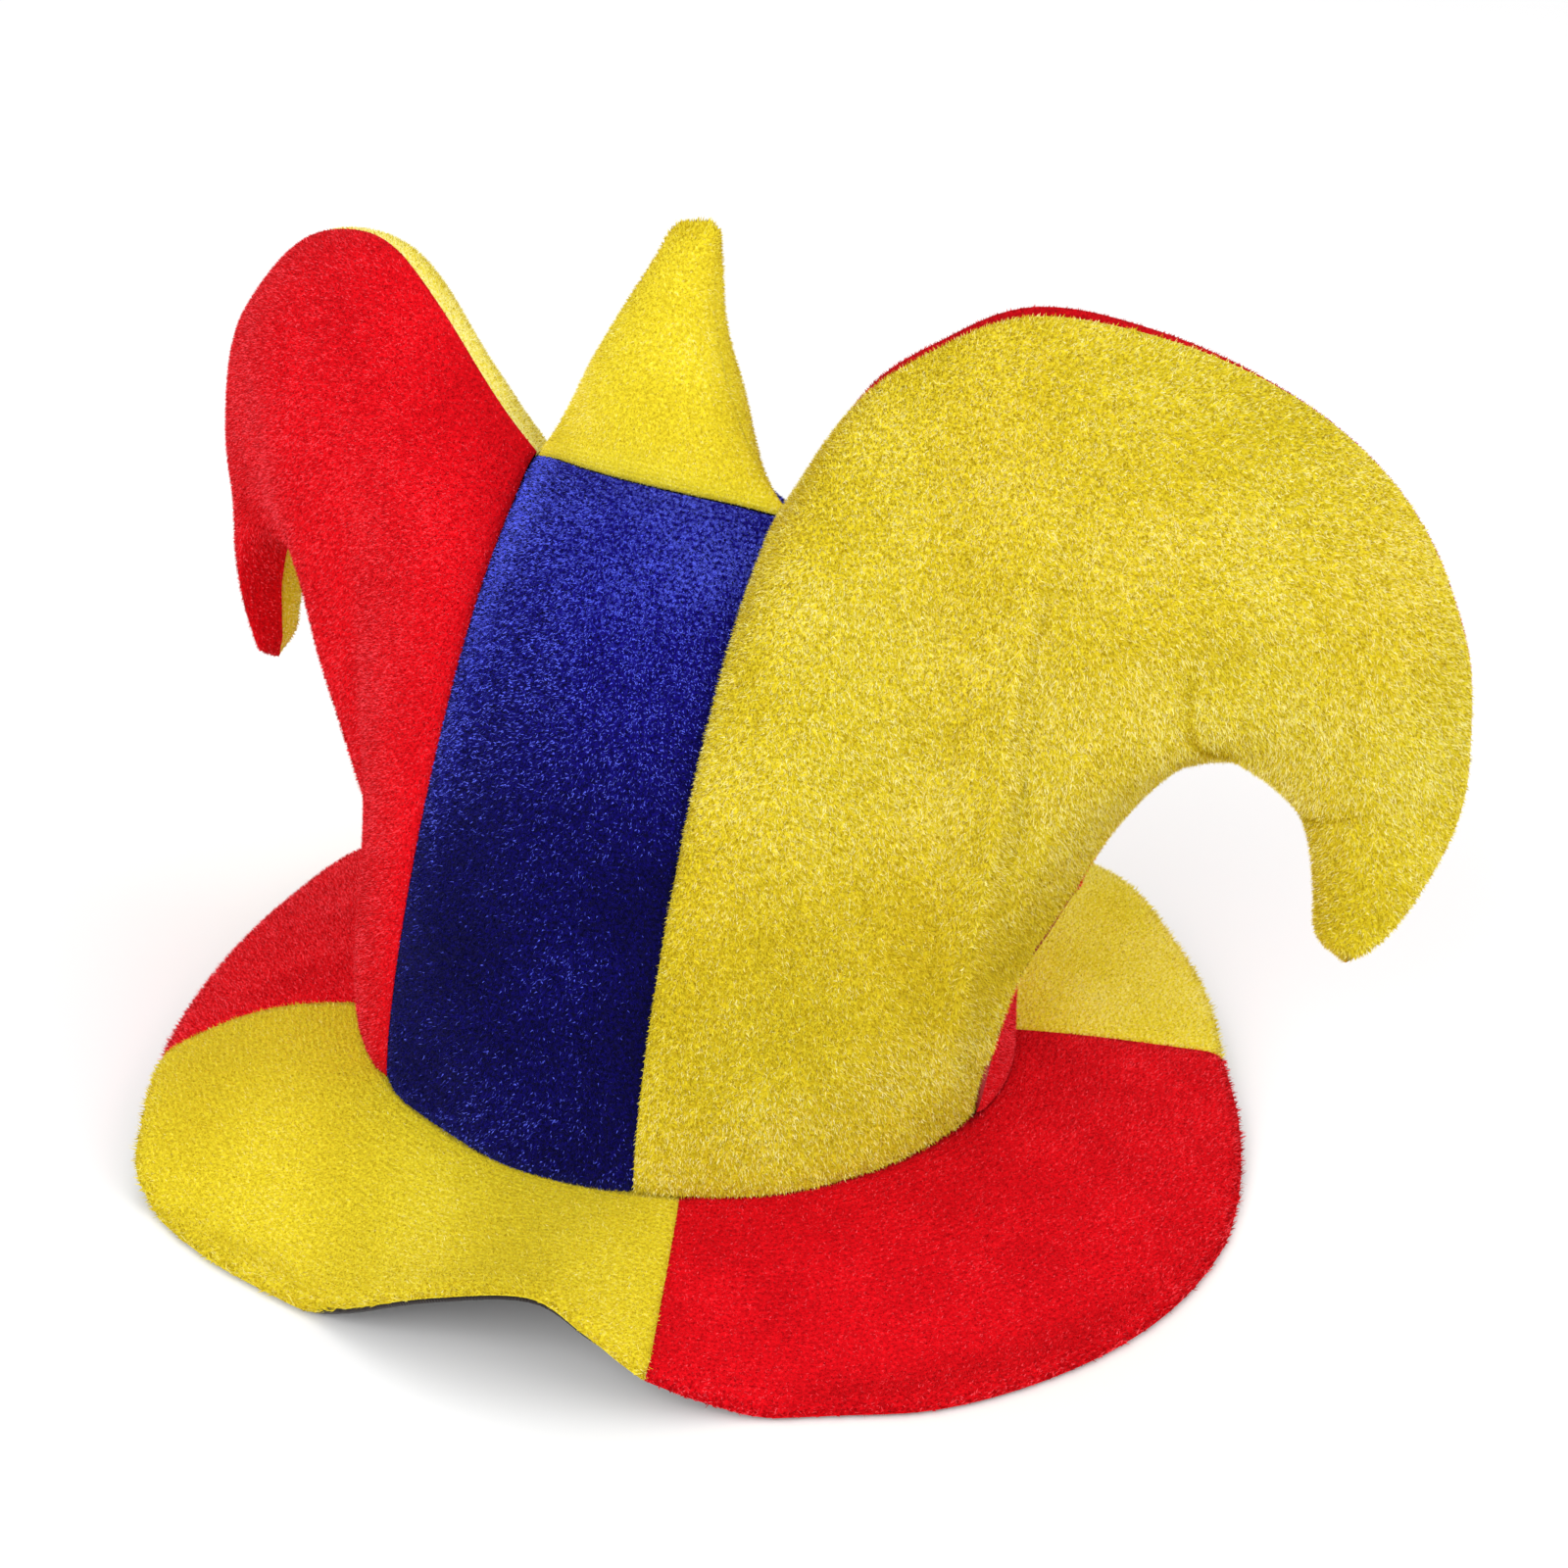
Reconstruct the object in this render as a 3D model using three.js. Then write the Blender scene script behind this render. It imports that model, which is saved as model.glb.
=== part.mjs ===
// A three-point jester party hat of plush cloth: a round crown that splits into two
// curled horns and a middle spike, on a soft brim of four quarters with a dark underside.
// Millimetres, +Z up, front towards -Y, origin under the middle of the hat on the floor.

import * as THREE from 'three';

// Cloth
const CLOTH = 2.4;            // plush with its foam backing
const LINING = 1.2;           // thin cloth under the brim
const GAP = 0.4;              // clearance kept along every seam

// Crown seam, an egg shape drawn round the head
const SEAM_HEIGHT = 30;       // above the floor
const SEAM_DROP = 2.5;        // lower than the nominal height, all round
const SEAM_TILT = 0.025;      // drop for each millimetre towards the right
const RING_RIGHT = 97;
const RING_LEFT = 96;
const RING_FRONT = 95;
const RING_BACK = 80;

// Crown
const PANEL_HALF = 43;        // half width of the middle panel at the seam
const CROWN_FALL = 1.4;       // exponent of the wall's rounding from seam to ridge
const TOP_LEAN = -12;         // the crown top leans this far to the front
const TOP_HEIGHT = 162;
const TOP_BULGE = 15;         // the spike's lens-shaped foot
const TOP_RISE = 6.5;         // arch of the foot's front edge

// Horns; hemRound is 0.5 where the back rounds into the hem as a full oval, more where it is flatter
const HORN_RIGHT = {
  sign: 1, sweep: 22, backPuff: 0.35, hemRound: 0.75, hemBack: 12, crest: 3.6, crestEnd: 6.5,
};
const HORN_LEFT = {
  sign: -1, sweep: 12, backPuff: 1.15, hemRound: 0.5, hemBack: 0, crest: 3, crestEnd: 4,
};
const SWEEP_START = 40;       // reach at which a horn begins to sweep back
const SWEEP_EASE = 30;        // reach over which it bends into the sweep
const SWEEP_GAIN = 1.18;      // makes up for that slow start
const SWEEP_RISE = 110;       // height over which the sweep comes in
const CLOSE_FROM = 2;         // section at which a horn begins to close into a tube
const CLOSE_OVER = 2.5;       // sections over which it closes
const HEM_FREE = 60;          // hem height at which the seam's tilt no longer counts
const HEM_BACK_FROM = 30;     // hem height at which the hem begins to swing back
const HEM_BACK_OVER = 50;     // hem height over which it swings
const CREST_FROM = 0.2;       // section at which the back begins to puff up over the ridge seam
const CREST_OVER = 0.8;       // sections over which it comes in
const CREST_FADE = 3.5;       // sections over which it goes again before its last section
const CREST_PLACE = 0.025;    // share of the section's height from the seam to the crest
const CREST_BACK = 0.3;       // how far it puffs back for each millimetre up

// One row per section from the middle panel's seam to the tip, heights above the crown seam:
// ridge reach, ridge height, hem reach, hem height, half depth added by the stuffing
const RIGHT_SECTIONS = [
  [39.5, 163, 43, 0, 0],
  [60, 200, 64, 0, 8],
  [80, 218, 82, 0, 18],
  [99, 228, 93, 0, 28],
  [120, 227.5, 97, 0, 36],
  [144, 220.5, 102, 28, 40],
  [166, 208, 109, 56, 40],
  [184, 190, 119, 81, 37],
  [196, 168, 133, 100, 33],
  [202, 144, 146, 104, 28],
  [203, 119, 157, 98, 23],
  [202, 95, 165, 87, 18],
  [198, 77, 170.5, 73.5, 13],
  [193.5, 67, 173.5, 64.5, 9],
  [187, 61.5, 178, 59.5, 0],
];
const LEFT_SECTIONS = [
  [41, 158.5, 43, 0, 0],
  [60, 176.5, 62, 0, 8],
  [78, 192, 80, 0, 18],
  [96, 202, 92, 0, 28],
  [115, 201, 96, 0, 35],
  [137, 191.5, 101, 28, 36],
  [157.5, 172.5, 105, 54, 30],
  [174, 149, 111, 74, 25],
  [182, 122, 127, 89, 22],
  [182, 101, 149, 94, 19],
  [179, 84, 163, 86, 17],
  [173.5, 70, 166, 73, 14],
  [169, 59, 164, 63, 10],
  [166.5, 53.5, 162, 56, 7],
  [165.5, 50.5, 162, 51.5, 0],
];

// Middle spike, one row per section from its foot to its tip:
// left x, left height, right x, right height, half depth, y of its middle
const SPIKE_SECTIONS = [
  [-41, 158.5, 39.5, 163, 15, -12],
  [-25, 187, 28.5, 186, 17, -12],
  [-10, 210, 21, 208, 13, -11],
  [-0.5, 225.5, 19.5, 228, 8, -10],
  [3, 231, 19, 234.5, 5, -10],
  [5.5, 234, 17.5, 237.5, 0, -10],
];
const SPIKE_TIP_ROW = 4;      // from this section on, the inner face drops below the tip
const SPIKE_FOOT_LIFT = 0.3;  // share of the cloth by which the inner foot stands higher
const SPIKE_ROUND = 4;        // how fast the foot's lens turns into an oval section

// Brim, one row per wave point round the hat, from the left front seam through the front:
// angle at the crown, angle at the edge, reach of the edge, height of the edge over the floor,
// bow in degrees halfway between them
const BRIM_WAVES = [
  [-141, -140, 152, 10, -3],
  [-129, -130, 157, 11, -2],
  [-121, -122.5, 163, 5, -1],
  [-115, -116, 160, -3, 0],
  [-108, -108, 156, -8, 0],
  [-100, -100, 152, -7, 0],
  [-91, -91, 150, 5, 0],
  [-80, -80, 149, 20, 0],
  [-69, -69, 149, 28, 0],
  [-62, -62.5, 152, 20, 0],
  [-55, -57, 155, 10, 0],
  [-48, -49, 157, 1, 0],
  [-40, -40, 160, -6, 0],
  [-31, -31, 166, -9, 0],
  [-20, -20, 169, -9, 0],
  [-9, -9, 170, -8, 0],
  [2, 2, 168, -4, 0],
  [11, 12, 164, 0, 0],
  [19, 23, 158, 3, 0],
  [28, 34, 152, 7, 0],
  [42, 46, 152, 8, 0],
  [55, 58, 153, 9, 0],
  [68, 69, 156, 10, 0],
  [80, 80, 157, 6, 0],
  [97, 97, 157, -3, 0],
  [111, 111, 157, -8, 0],
  [125, 125, 156, -9, 0],
  [140, 140, 155, -7, 0],
  [156, 156, 153, 1, 0],
  [171, 171, 151, 8, 0],
  [184, 184, 149, 7, 0],
  [198, 197, 148, 7, -1],
  [210, 209, 149, 8, -2],
];
// Rows at which one brim quarter is sewn to the next
const BRIM_SEAM_ROWS = [0, 10, 19, 26, 33];
const BRIM_LEVEL = 0.4;       // share of the brim's fall that is straight
const FLOOR_EASE = 2;         // height over which the brim flattens on the floor
const ROW_WIDTH = 30;         // widest spacing of two wave rows, for the gap between quarters

// The crown axis from the middle of the hat's outline
const CENTRE_X = 10.2;
const CENTRE_Y = 3.5;

// Mesh density
const HORN_COLS = 26;
const HORN_ROWS = 10;
const PANEL_COLS = 6;
const PANEL_ROWS = 12;
const SPIKE_COLS = 8;
const SPIKE_ROWS = 8;
const BRIM_STEPS = 2;         // columns for each wave row
const BRIM_ROWS = 5;
const BRIM_CROWD = 1.4;       // rows sit closer together towards the edge

const YELLOW = { color: 0xe0c636, roughness: 0.85, metalness: 0 };
const RED = { color: 0xda1921, roughness: 0.85, metalness: 0 };
const BLUE = { color: 0x1c1461, roughness: 0.7, metalness: 0 };
const DARK = { color: 0x1f1613, roughness: 0.9, metalness: 0 };

const clamp = (v, low, high) => Math.min(high, Math.max(low, v));
const mix = (a, b, w) => a + (b - a) * w;
const smooth = (v) => clamp(v, 0, 1) ** 2 * (3 - 2 * clamp(v, 0, 1));
const point = (x, y, z) => new THREE.Vector3(x, y, z);

// A smooth curve through the rows of a table, for any number of columns
function through(rows) {
  const last = rows.length - 1;
  const at = (i, c) => {
    if (i < 0) return 2 * rows[0][c] - rows[1][c];
    if (i > last) return 2 * rows[last][c] - rows[last - 1][c];
    return rows[i][c];
  };
  return (position) => {
    const i = clamp(Math.floor(position), 0, last - 1);
    const w = position - i;
    return rows[0].map((_, c) => {
      const [a, b, d, e] = [at(i - 1, c), at(i, c), at(i + 1, c), at(i + 2, c)];
      return 0.5 * (2 * b + (d - a) * w + (2 * a - 5 * b + 4 * d - e) * w * w
        + (3 * b - a - 3 * d + e) * w * w * w);
    });
  };
}

const seamZ = (x) => -SEAM_DROP - SEAM_TILT * x;

// Depth of the crown seam's egg shape at a given x, pulled in by an inset
function ringDepth(x, face, inset) {
  const half = (x > 0 ? RING_RIGHT : RING_LEFT) - inset;
  const deep = (face < 0 ? RING_FRONT : RING_BACK) - inset;
  return deep * Math.sqrt(Math.max(0, 1 - (x / half) ** 2));
}

function ringRadius(angle) {
  const half = Math.cos(angle) > 0 ? RING_RIGHT : RING_LEFT;
  const deep = Math.sin(angle) < 0 ? RING_FRONT : RING_BACK;
  return 1 / Math.hypot(Math.cos(angle) / half, Math.sin(angle) / deep);
}

// Sections of the inner face: each seam moves inwards by the cloth's thickness
function insetSections(rows, sign) {
  const side = (i, c) => {
    const a = rows[Math.max(0, i - 1)];
    const b = rows[Math.min(rows.length - 1, i + 1)];
    const length = Math.hypot(b[c] - a[c], b[c + 1] - a[c + 1]);
    return [(b[c + 1] - a[c + 1]) / length, -(b[c] - a[c]) / length];
  };
  const half = sign > 0 ? RING_RIGHT : RING_LEFT;
  return rows.slice(0, -1).map(([ridgeX, ridgeZ, hemX, hemZ, puff], i) => {
    const ridge = i === 0 ? [0, -1] : side(i, 0);
    const hem = hemZ > 0 ? side(i, 2).map((v) => -v) : [-hemX / half, 0];
    return [ridgeX + CLOTH * ridge[0], ridgeZ + CLOTH * ridge[1],
      hemX + CLOTH * hem[0], hemZ + CLOTH * hem[1], puff];
  });
}

// A horn's face: along runs from the middle panel to the tip, up from hem to ridge
function hornFace(horn, sections, face, inset) {
  const rows = inset > 0 ? insetSections(sections, horn.sign) : sections;
  const curve = through(rows);
  return (along, up) => {
    const section = along * (rows.length - 1);
    const [ridgeX, ridgeZ, hemX, hemRise, puff] = curve(section);
    const closed = smooth((section - CLOSE_FROM) / CLOSE_OVER);
    const h = mix(Math.sin(up * Math.PI / 2), (1 - Math.cos(up * Math.PI)) / 2, closed);
    const rise = Math.max(0, hemRise);
    const hemZ = rise + seamZ(horn.sign * hemX) * clamp(1 - rise / HEM_FREE, 0, 1);
    const x = mix(hemX, ridgeX, h);
    const z = mix(hemZ, ridgeZ, h);
    const fall = (1 - h ** CROWN_FALL) ** (1 / CROWN_FALL);
    const wall = ringDepth(horn.sign * hemX, face, inset) * fall;
    const belly = puff * (face < 0 ? 1 : horn.backPuff);
    const lens = Math.max(0, 1 - (2 * h - 1) ** 2);
    const oval = lens ** (face > 0 && h < 0.5 ? horn.hemRound : 0.5);
    const stuffing = Math.max(Math.min(belly, 1), belly - inset) * oval;
    const out = Math.max(0, x - SWEEP_START);
    const turn = Math.tan(horn.sweep * Math.PI / 180) * SWEEP_GAIN;
    const sweep = turn * out * out / (out + SWEEP_EASE);
    const swing = clamp((rise - HEM_BACK_FROM) / HEM_BACK_OVER, 0, 1);
    const below = (1 - h) / CREST_PLACE;
    const starts = smooth((section - CREST_FROM) / CREST_OVER);
    const ends = smooth((horn.crestEnd - section) / CREST_FADE);
    const crest = face < 0 ? 0 : horn.crest * starts * ends * below * Math.exp(1 - below);
    const y = TOP_LEAN * clamp(z / TOP_HEIGHT, 0, 1) ** 2 + sweep * smooth(z / SWEEP_RISE)
      + horn.hemBack * (1 - h) * swing + CREST_BACK * crest
      + face * (Math.hypot(wall, stuffing) + GAP / 2);
    return point(horn.sign * (x + GAP / 2), y, z + crest);
  };
}

// The middle panel's face, held between the first sections of the two horns
function panelFace(face, inset) {
  const left = hornFace(HORN_LEFT, LEFT_SECTIONS, face, inset);
  const right = hornFace(HORN_RIGHT, RIGHT_SECTIONS, face, inset);
  return (across, up) => {
    const s = (2 * across - 1) * (1 - GAP / PANEL_HALF);
    const edge = left(0, up).lerp(right(0, up), (s + 1) / 2);
    const h = Math.sin(up * Math.PI / 2);
    const round = ringDepth(PANEL_HALF * s, face, inset) - ringDepth(PANEL_HALF, face, inset);
    const lens = 1 - s * s;
    edge.y += face * (round * (1 - h) + TOP_BULGE * lens * h);
    edge.z += TOP_RISE * lens * h ** 3;
    return edge;
  };
}

// Sections of the spike's inner face
function insetSpike(inset) {
  return SPIKE_SECTIONS.slice(0, -1).map(([leftX, leftZ, rightX, rightZ, deep, middle], i) => {
    const lift = i >= SPIKE_TIP_ROW ? -inset : SPIKE_FOOT_LIFT * inset;
    return [leftX + inset, leftZ + lift, rightX - inset, rightZ + lift, Math.max(1, deep - inset), middle];
  });
}

// The spike's face, from its lens-shaped foot to its blunt tip
function spikeFace(face, inset) {
  const rows = inset > 0 ? insetSpike(inset) : SPIKE_SECTIONS;
  const curve = through(rows);
  return (across, up) => {
    const [leftX, leftZ, rightX, rightZ, deep, middle] = curve(up * (rows.length - 1));
    const s = -Math.cos(across * Math.PI);
    const round = clamp(up * SPIKE_ROUND, 0, 1);
    const lens = 1 - s * s;
    const z = mix(leftZ, rightZ, (s + 1) / 2) + TOP_RISE * lens * (1 - round) ** 2 + GAP;
    const y = middle + face * (deep * mix(lens, Math.sqrt(Math.max(0, lens)), round) + GAP / 2);
    return point(mix(leftX, rightX, (s + 1) / 2), y, z);
  };
}

// The brim, raised from its lowest face by a thickness
const wave = through([...BRIM_WAVES, BRIM_WAVES[0], BRIM_WAVES[1]]
  .map((row, i) => (i < BRIM_WAVES.length ? row : [row[0] + 360, row[1] + 360, ...row.slice(2)])));
const BRIM_STACK = LINING + GAP + CLOTH;

function brimFace(raise) {
  return (position, v) => {
    const out = 1 - (1 - v) ** BRIM_CROWD;
    const [root, edge, reach, lift, bow] = wave(position);
    const angle = (mix(root, edge, out) + bow * Math.sin(out * Math.PI)) * Math.PI / 180;
    const start = ringRadius(angle) - CLOTH;
    const radius = mix(start, reach, out);
    const top = SEAM_HEIGHT + seamZ(start * Math.cos(angle)) - GAP - BRIM_STACK;
    const fall = mix(top, lift, BRIM_LEVEL * out + (1 - BRIM_LEVEL) * out * out);
    const soft = clamp((fall + FLOOR_EASE) / (2 * FLOOR_EASE), 0, 1);
    const rest = fall > FLOOR_EASE ? fall : FLOOR_EASE * soft * soft;
    return point(radius * Math.cos(angle), radius * Math.sin(angle), rest + raise - SEAM_HEIGHT);
  };
}

// A closed cloth solid between two faces sampled on the same grid
function clothSolid(outer, inner, cols, rows, round = false) {
  const spots = [];
  const lines = round ? cols : cols + 1;
  const count = lines * (rows + 1);
  for (const face of [outer, inner]) {
    for (let i = 0; i < lines; i++) {
      for (let j = 0; j <= rows; j++) {
        const p = face(i / cols, j / rows);
        spots.push(p.x - CENTRE_X, p.y - CENTRE_Y, p.z + SEAM_HEIGHT);
      }
    }
  }
  const at = (i, j) => (round ? i % cols : i) * (rows + 1) + j;
  const index = [];
  const quad = (a, b, c, d) => index.push(a, b, c, a, c, d);
  for (let i = 0; i < cols; i++) {
    for (let j = 0; j < rows; j++) {
      quad(at(i, j), at(i + 1, j), at(i + 1, j + 1), at(i, j + 1));
      quad(count + at(i, j), count + at(i, j + 1), count + at(i + 1, j + 1), count + at(i + 1, j));
    }
    quad(at(i, 0), count + at(i, 0), count + at(i + 1, 0), at(i + 1, 0));
    quad(at(i, rows), at(i + 1, rows), count + at(i + 1, rows), count + at(i, rows));
  }
  for (let j = 0; j < rows && !round; j++) {
    quad(at(0, j), at(0, j + 1), count + at(0, j + 1), count + at(0, j));
    quad(at(cols, j), count + at(cols, j), count + at(cols, j + 1), at(cols, j + 1));
  }
  let volume = 0;
  const corner = (k) => point(...spots.slice(3 * k, 3 * k + 3));
  for (let k = 0; k < index.length; k += 3) {
    volume += corner(index[k]).dot(corner(index[k + 1]).cross(corner(index[k + 2])));
  }
  if (volume < 0) index.reverse();
  const solid = new THREE.BufferGeometry();
  solid.setAttribute('position', new THREE.Float32BufferAttribute(spots, 3));
  solid.setIndex(index);
  solid.computeVertexNormals();
  return solid;
}

const hat = new THREE.Group();
hat.name = 'party_hat';

function add(name, look, solid) {
  const mesh = new THREE.Mesh(solid, new THREE.MeshStandardMaterial(look));
  mesh.name = name;
  hat.add(mesh);
}

for (const [face, word] of [[-1, 'front'], [1, 'back']]) {
  add(`crown_${word}`, BLUE,
    clothSolid(panelFace(face, 0), panelFace(face, CLOTH), PANEL_COLS, PANEL_ROWS));
  add(`horn_right_${word}`, face < 0 ? YELLOW : RED,
    clothSolid(hornFace(HORN_RIGHT, RIGHT_SECTIONS, face, 0),
      hornFace(HORN_RIGHT, RIGHT_SECTIONS, face, CLOTH), HORN_COLS, HORN_ROWS));
  add(`horn_left_${word}`, face < 0 ? RED : YELLOW,
    clothSolid(hornFace(HORN_LEFT, LEFT_SECTIONS, face, 0),
      hornFace(HORN_LEFT, LEFT_SECTIONS, face, CLOTH), HORN_COLS, HORN_ROWS));
  add(`spike_${word}`, YELLOW,
    clothSolid(spikeFace(face, 0), spikeFace(face, CLOTH), SPIKE_COLS, SPIKE_ROWS));
}

['front', 'right', 'back', 'left'].forEach((word, k) => {
  const from = BRIM_SEAM_ROWS[k] + GAP / ROW_WIDTH;
  const to = BRIM_SEAM_ROWS[k + 1] - GAP / ROW_WIDTH;
  const cols = BRIM_STEPS * (BRIM_SEAM_ROWS[k + 1] - BRIM_SEAM_ROWS[k]);
  const quarter = (raise) => (u, out) => brimFace(raise)(mix(from, to, u), out);
  add(`brim_${word}`, k % 2 ? RED : YELLOW,
    clothSolid(quarter(BRIM_STACK), quarter(LINING + GAP), cols, BRIM_ROWS));
});

const whole = (raise) => (u, out) => brimFace(raise)(u * BRIM_WAVES.length, out);
add('brim_underside', DARK,
  clothSolid(whole(LINING), whole(0), BRIM_STEPS * BRIM_WAVES.length, BRIM_ROWS, true));

export default hat;
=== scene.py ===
"""A plush jester party hat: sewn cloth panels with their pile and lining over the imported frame."""

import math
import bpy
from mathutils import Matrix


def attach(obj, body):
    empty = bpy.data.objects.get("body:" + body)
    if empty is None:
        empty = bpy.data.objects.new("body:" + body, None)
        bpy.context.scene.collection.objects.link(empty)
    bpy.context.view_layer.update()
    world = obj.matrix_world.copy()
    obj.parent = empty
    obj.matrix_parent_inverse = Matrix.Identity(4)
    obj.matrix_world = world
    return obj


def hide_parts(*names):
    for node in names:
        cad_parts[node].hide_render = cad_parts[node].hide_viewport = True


bl_info = {
    "name": "Jester Party Hat",
    "version": (1, 0, 0),
    "blender": (4, 5, 0),
    "location": "View3D > Sidebar > Party Hat",
    "description": "Sews the plush panels, pile and lining of a jester party hat over its frame",
    "category": "Add Mesh",
}

import bmesh
import bpy
import numpy as np
from bpy.props import FloatProperty, FloatVectorProperty, PointerProperty
from mathutils import Matrix, Vector

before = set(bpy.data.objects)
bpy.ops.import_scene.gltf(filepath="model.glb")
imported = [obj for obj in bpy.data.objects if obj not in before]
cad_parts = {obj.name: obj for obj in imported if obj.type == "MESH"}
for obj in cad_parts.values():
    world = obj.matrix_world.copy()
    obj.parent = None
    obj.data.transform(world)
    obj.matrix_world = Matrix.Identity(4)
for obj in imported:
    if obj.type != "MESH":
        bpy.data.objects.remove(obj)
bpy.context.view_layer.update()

MM = 0.001
PALETTE_MAP = "OFBake"
CLOTH_MAP = "Cloth"
# Attribute with each panel's random tone and its painted light and shade
TONE_AND_PAINTED_LIGHT_ATTRIBUTE = "nap"

# The crown's middle in the frame, millimetres; the tables below count from it
CROWN = np.array([-10.2, -3.5, 30.0])

# Crown seam, an egg shape round the head
SEAM_HEIGHT = 30.0
SEAM_DROP = 2.5
SEAM_TILT = 0.025
RING_RIGHT = 97.0
RING_LEFT = 96.0
RING_FRONT = 95.0
RING_BACK = 80.0

# Crown
PANEL_HALF = 43.0
CROWN_FALL = 1.4
TOP_LEAN = -12.0
TOP_HEIGHT = 162.0
TOP_BULGE = 15.0
TOP_RISE = 6.5

# Seams and the cloth of the frame
GAP = 0.4
FRAME_CLOTH = 2.4
FRAME_LINING = 1.2
BRIM_STACK = FRAME_LINING + GAP + FRAME_CLOTH

# Horns: which side, degrees swept back, puff of the back against the front, how flat the back leaves
# the hem, how far the hem swings back, height and last section of the puffed back over the ridge,
# painted light and shade of the back at the ridge, brush of the front
HORN_RIGHT = {
    "sign": 1.0,
    "sweep": 22.0,
    "back_puff": 0.35,
    "hem_round": 2.0,
    "hem_back": 12.0,
    "crest": 5.6,
    "crest_end": 6.8,
    # painted shade: the back darker along the ridge
    "back_painted_light": -0.4,
    "front_brush": {"coarse": 1.0, "speck": 1.0, "dense": 1.4},
}
HORN_LEFT = {
    "sign": -1.0,
    "sweep": 12.0,
    "back_puff": 1.15,
    "hem_round": 0.5,
    "hem_back": 0.0,
    "crest": 4.2,
    "crest_end": 4.0,
    # painted light: the back lighter along the ridge
    "back_painted_light": 0.3,
    "front_brush": {"speck": 1.0},
}
SWEEP_START = 40.0
SWEEP_EASE = 30.0
SWEEP_GAIN = 1.18
SWEEP_RISE = 110.0
CLOSE_FROM = 2.0
CLOSE_OVER = 2.5
HEM_FREE = 60.0
# The hem swings back from this height on, over this rise; a hem risen as far as MEET takes the cloth
# above it along
HEM_BACK_FROM = 40.0
HEM_BACK_OVER = 20.0
HEM_BACK_MEET = 30.0
# The puffed back over the ridge seam, in sections, and its place and lean
CREST_FROM = 0.2
CREST_OVER = 0.8
CREST_FADE = 4.5
CREST_PLACE = 0.025
CREST_BACK = 0.3

# One row per section from the middle panel to the tip:
# ridge reach, ridge height, hem reach, hem height, half depth added by the stuffing
RIGHT_SECTIONS = [
    (39.5, 163, 43, 0, 0),
    (60, 200, 64, 0, 8),
    (80, 218, 82, 0, 18),
    (99, 228, 93, 0, 28),
    (120, 227.5, 97, 0, 36),
    (144, 220.5, 102, 28, 40),
    (166, 208, 109, 56, 40),
    (184, 190, 119, 81, 37),
    (196, 168, 133, 100, 33),
    (202, 144, 146, 104, 28),
    (203, 119, 157, 98, 23),
    (202, 95, 165, 87, 18),
    (198, 77, 170.5, 73.5, 13),
    (193.5, 67, 173.5, 64.5, 9),
    (187, 61.5, 178, 59.5, 0),
]
LEFT_SECTIONS = [
    (41, 158.5, 43, 0, 0),
    (60, 176.5, 62, 0, 8),
    (78, 192, 80, 0, 18),
    (96, 202, 92, 0, 28),
    (115, 201, 96, 0, 35),
    (137, 191.5, 101, 28, 36),
    (157.5, 172.5, 105, 54, 30),
    (174, 149, 111, 74, 25),
    (182, 122, 127, 89, 22),
    (182, 101, 149, 94, 19),
    (179, 84, 163, 86, 17),
    (173.5, 70, 166, 73, 14),
    (169, 59, 164, 63, 10),
    (166.5, 53.5, 162, 56, 7),
    (165.5, 50.5, 162, 51.5, 0),
]

# Middle spike, from its foot to its tip:
# left x, left height, right x, right height, half depth, y of its middle
SPIKE_SECTIONS = [
    (-41, 158.5, 39.5, 163, 15, -12),
    (-23.5, 187, 28.5, 186, 17, -12),
    (-10, 210, 21, 208, 13, -11),
    (-0.5, 225.5, 19.5, 228, 8, -10),
    (3, 231, 19, 234.5, 5, -10),
    (5.5, 234, 17.5, 237.5, 0, -10),
]
SPIKE_ROUND = 4.0

# Where the crown, a horn and the spike meet at the top
TOP_CORNERS = [(-41, -12, 158.5), (39.5, -12, 163)]

# Brim, one row per wave point round the hat, from the left front seam through the front:
# angle at the crown, angle at the edge, reach of the edge, height of the edge over the floor,
# bow in degrees halfway between them
BRIM_WAVES = [
    (-141, -140, 152, 10, -3),
    (-129, -130, 157, 11, -2),
    (-121, -122.5, 163, 5, -1),
    (-115, -116, 160, -3, 0),
    (-108, -108, 156, -8, 0),
    (-100, -100, 152, -7, 0),
    (-91, -91, 150, 5, 0),
    (-80, -80, 149, 20, 0),
    (-69, -69, 149, 28, 0),
    (-62, -62.5, 152, 20, 0),
    (-55, -57, 155, 10, 0),
    (-48, -49, 157, 1, 0),
    (-40, -40, 160, -6, 0),
    (-31, -31, 166, -9, 0),
    (-20, -20, 169, -9, 0),
    (-9, -9, 170, -8, 0),
    (2, 2, 168, -4, 0),
    (11, 12, 164, 0, 0),
    (19, 23, 158, 3, 0),
    (28, 34, 152, 7, 0),
    (42, 46, 152, 8, 0),
    (55, 58, 153, 9, 0),
    (68, 69, 156, 10, 0),
    (80, 80, 157, 6, 0),
    (97, 97, 157, -3, 0),
    (111, 111, 157, -8, 0),
    (125, 125, 156, -9, 0),
    (140, 140, 155, -7, 0),
    (156, 156, 153, 1, 0),
    (171, 171, 151, 8, 0),
    (184, 184, 149, 7, 0),
    (198, 197, 148, 7, -1),
    (210, 209, 149, 8, -2),
]
BRIM_SEAM_ROWS = [0, 10, 19, 26, 33]
BRIM_LEVEL = 0.4
BRIM_CROWD = 1.4
FLOOR_EASE = 2.0

# The cloth thins towards the edges of a panel, where it turns edge on, and towards a tip
EDGE_WIDTH = 4.0
EDGE_SHARE = 0.2
TIP_REACH = 40.0

# Knitted rows of the backing that show through the pile, and the width of the painted shade along a crease
KNIT_ROW = 1.7
CREASE_SHADE_WIDTH = 1.1
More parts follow.
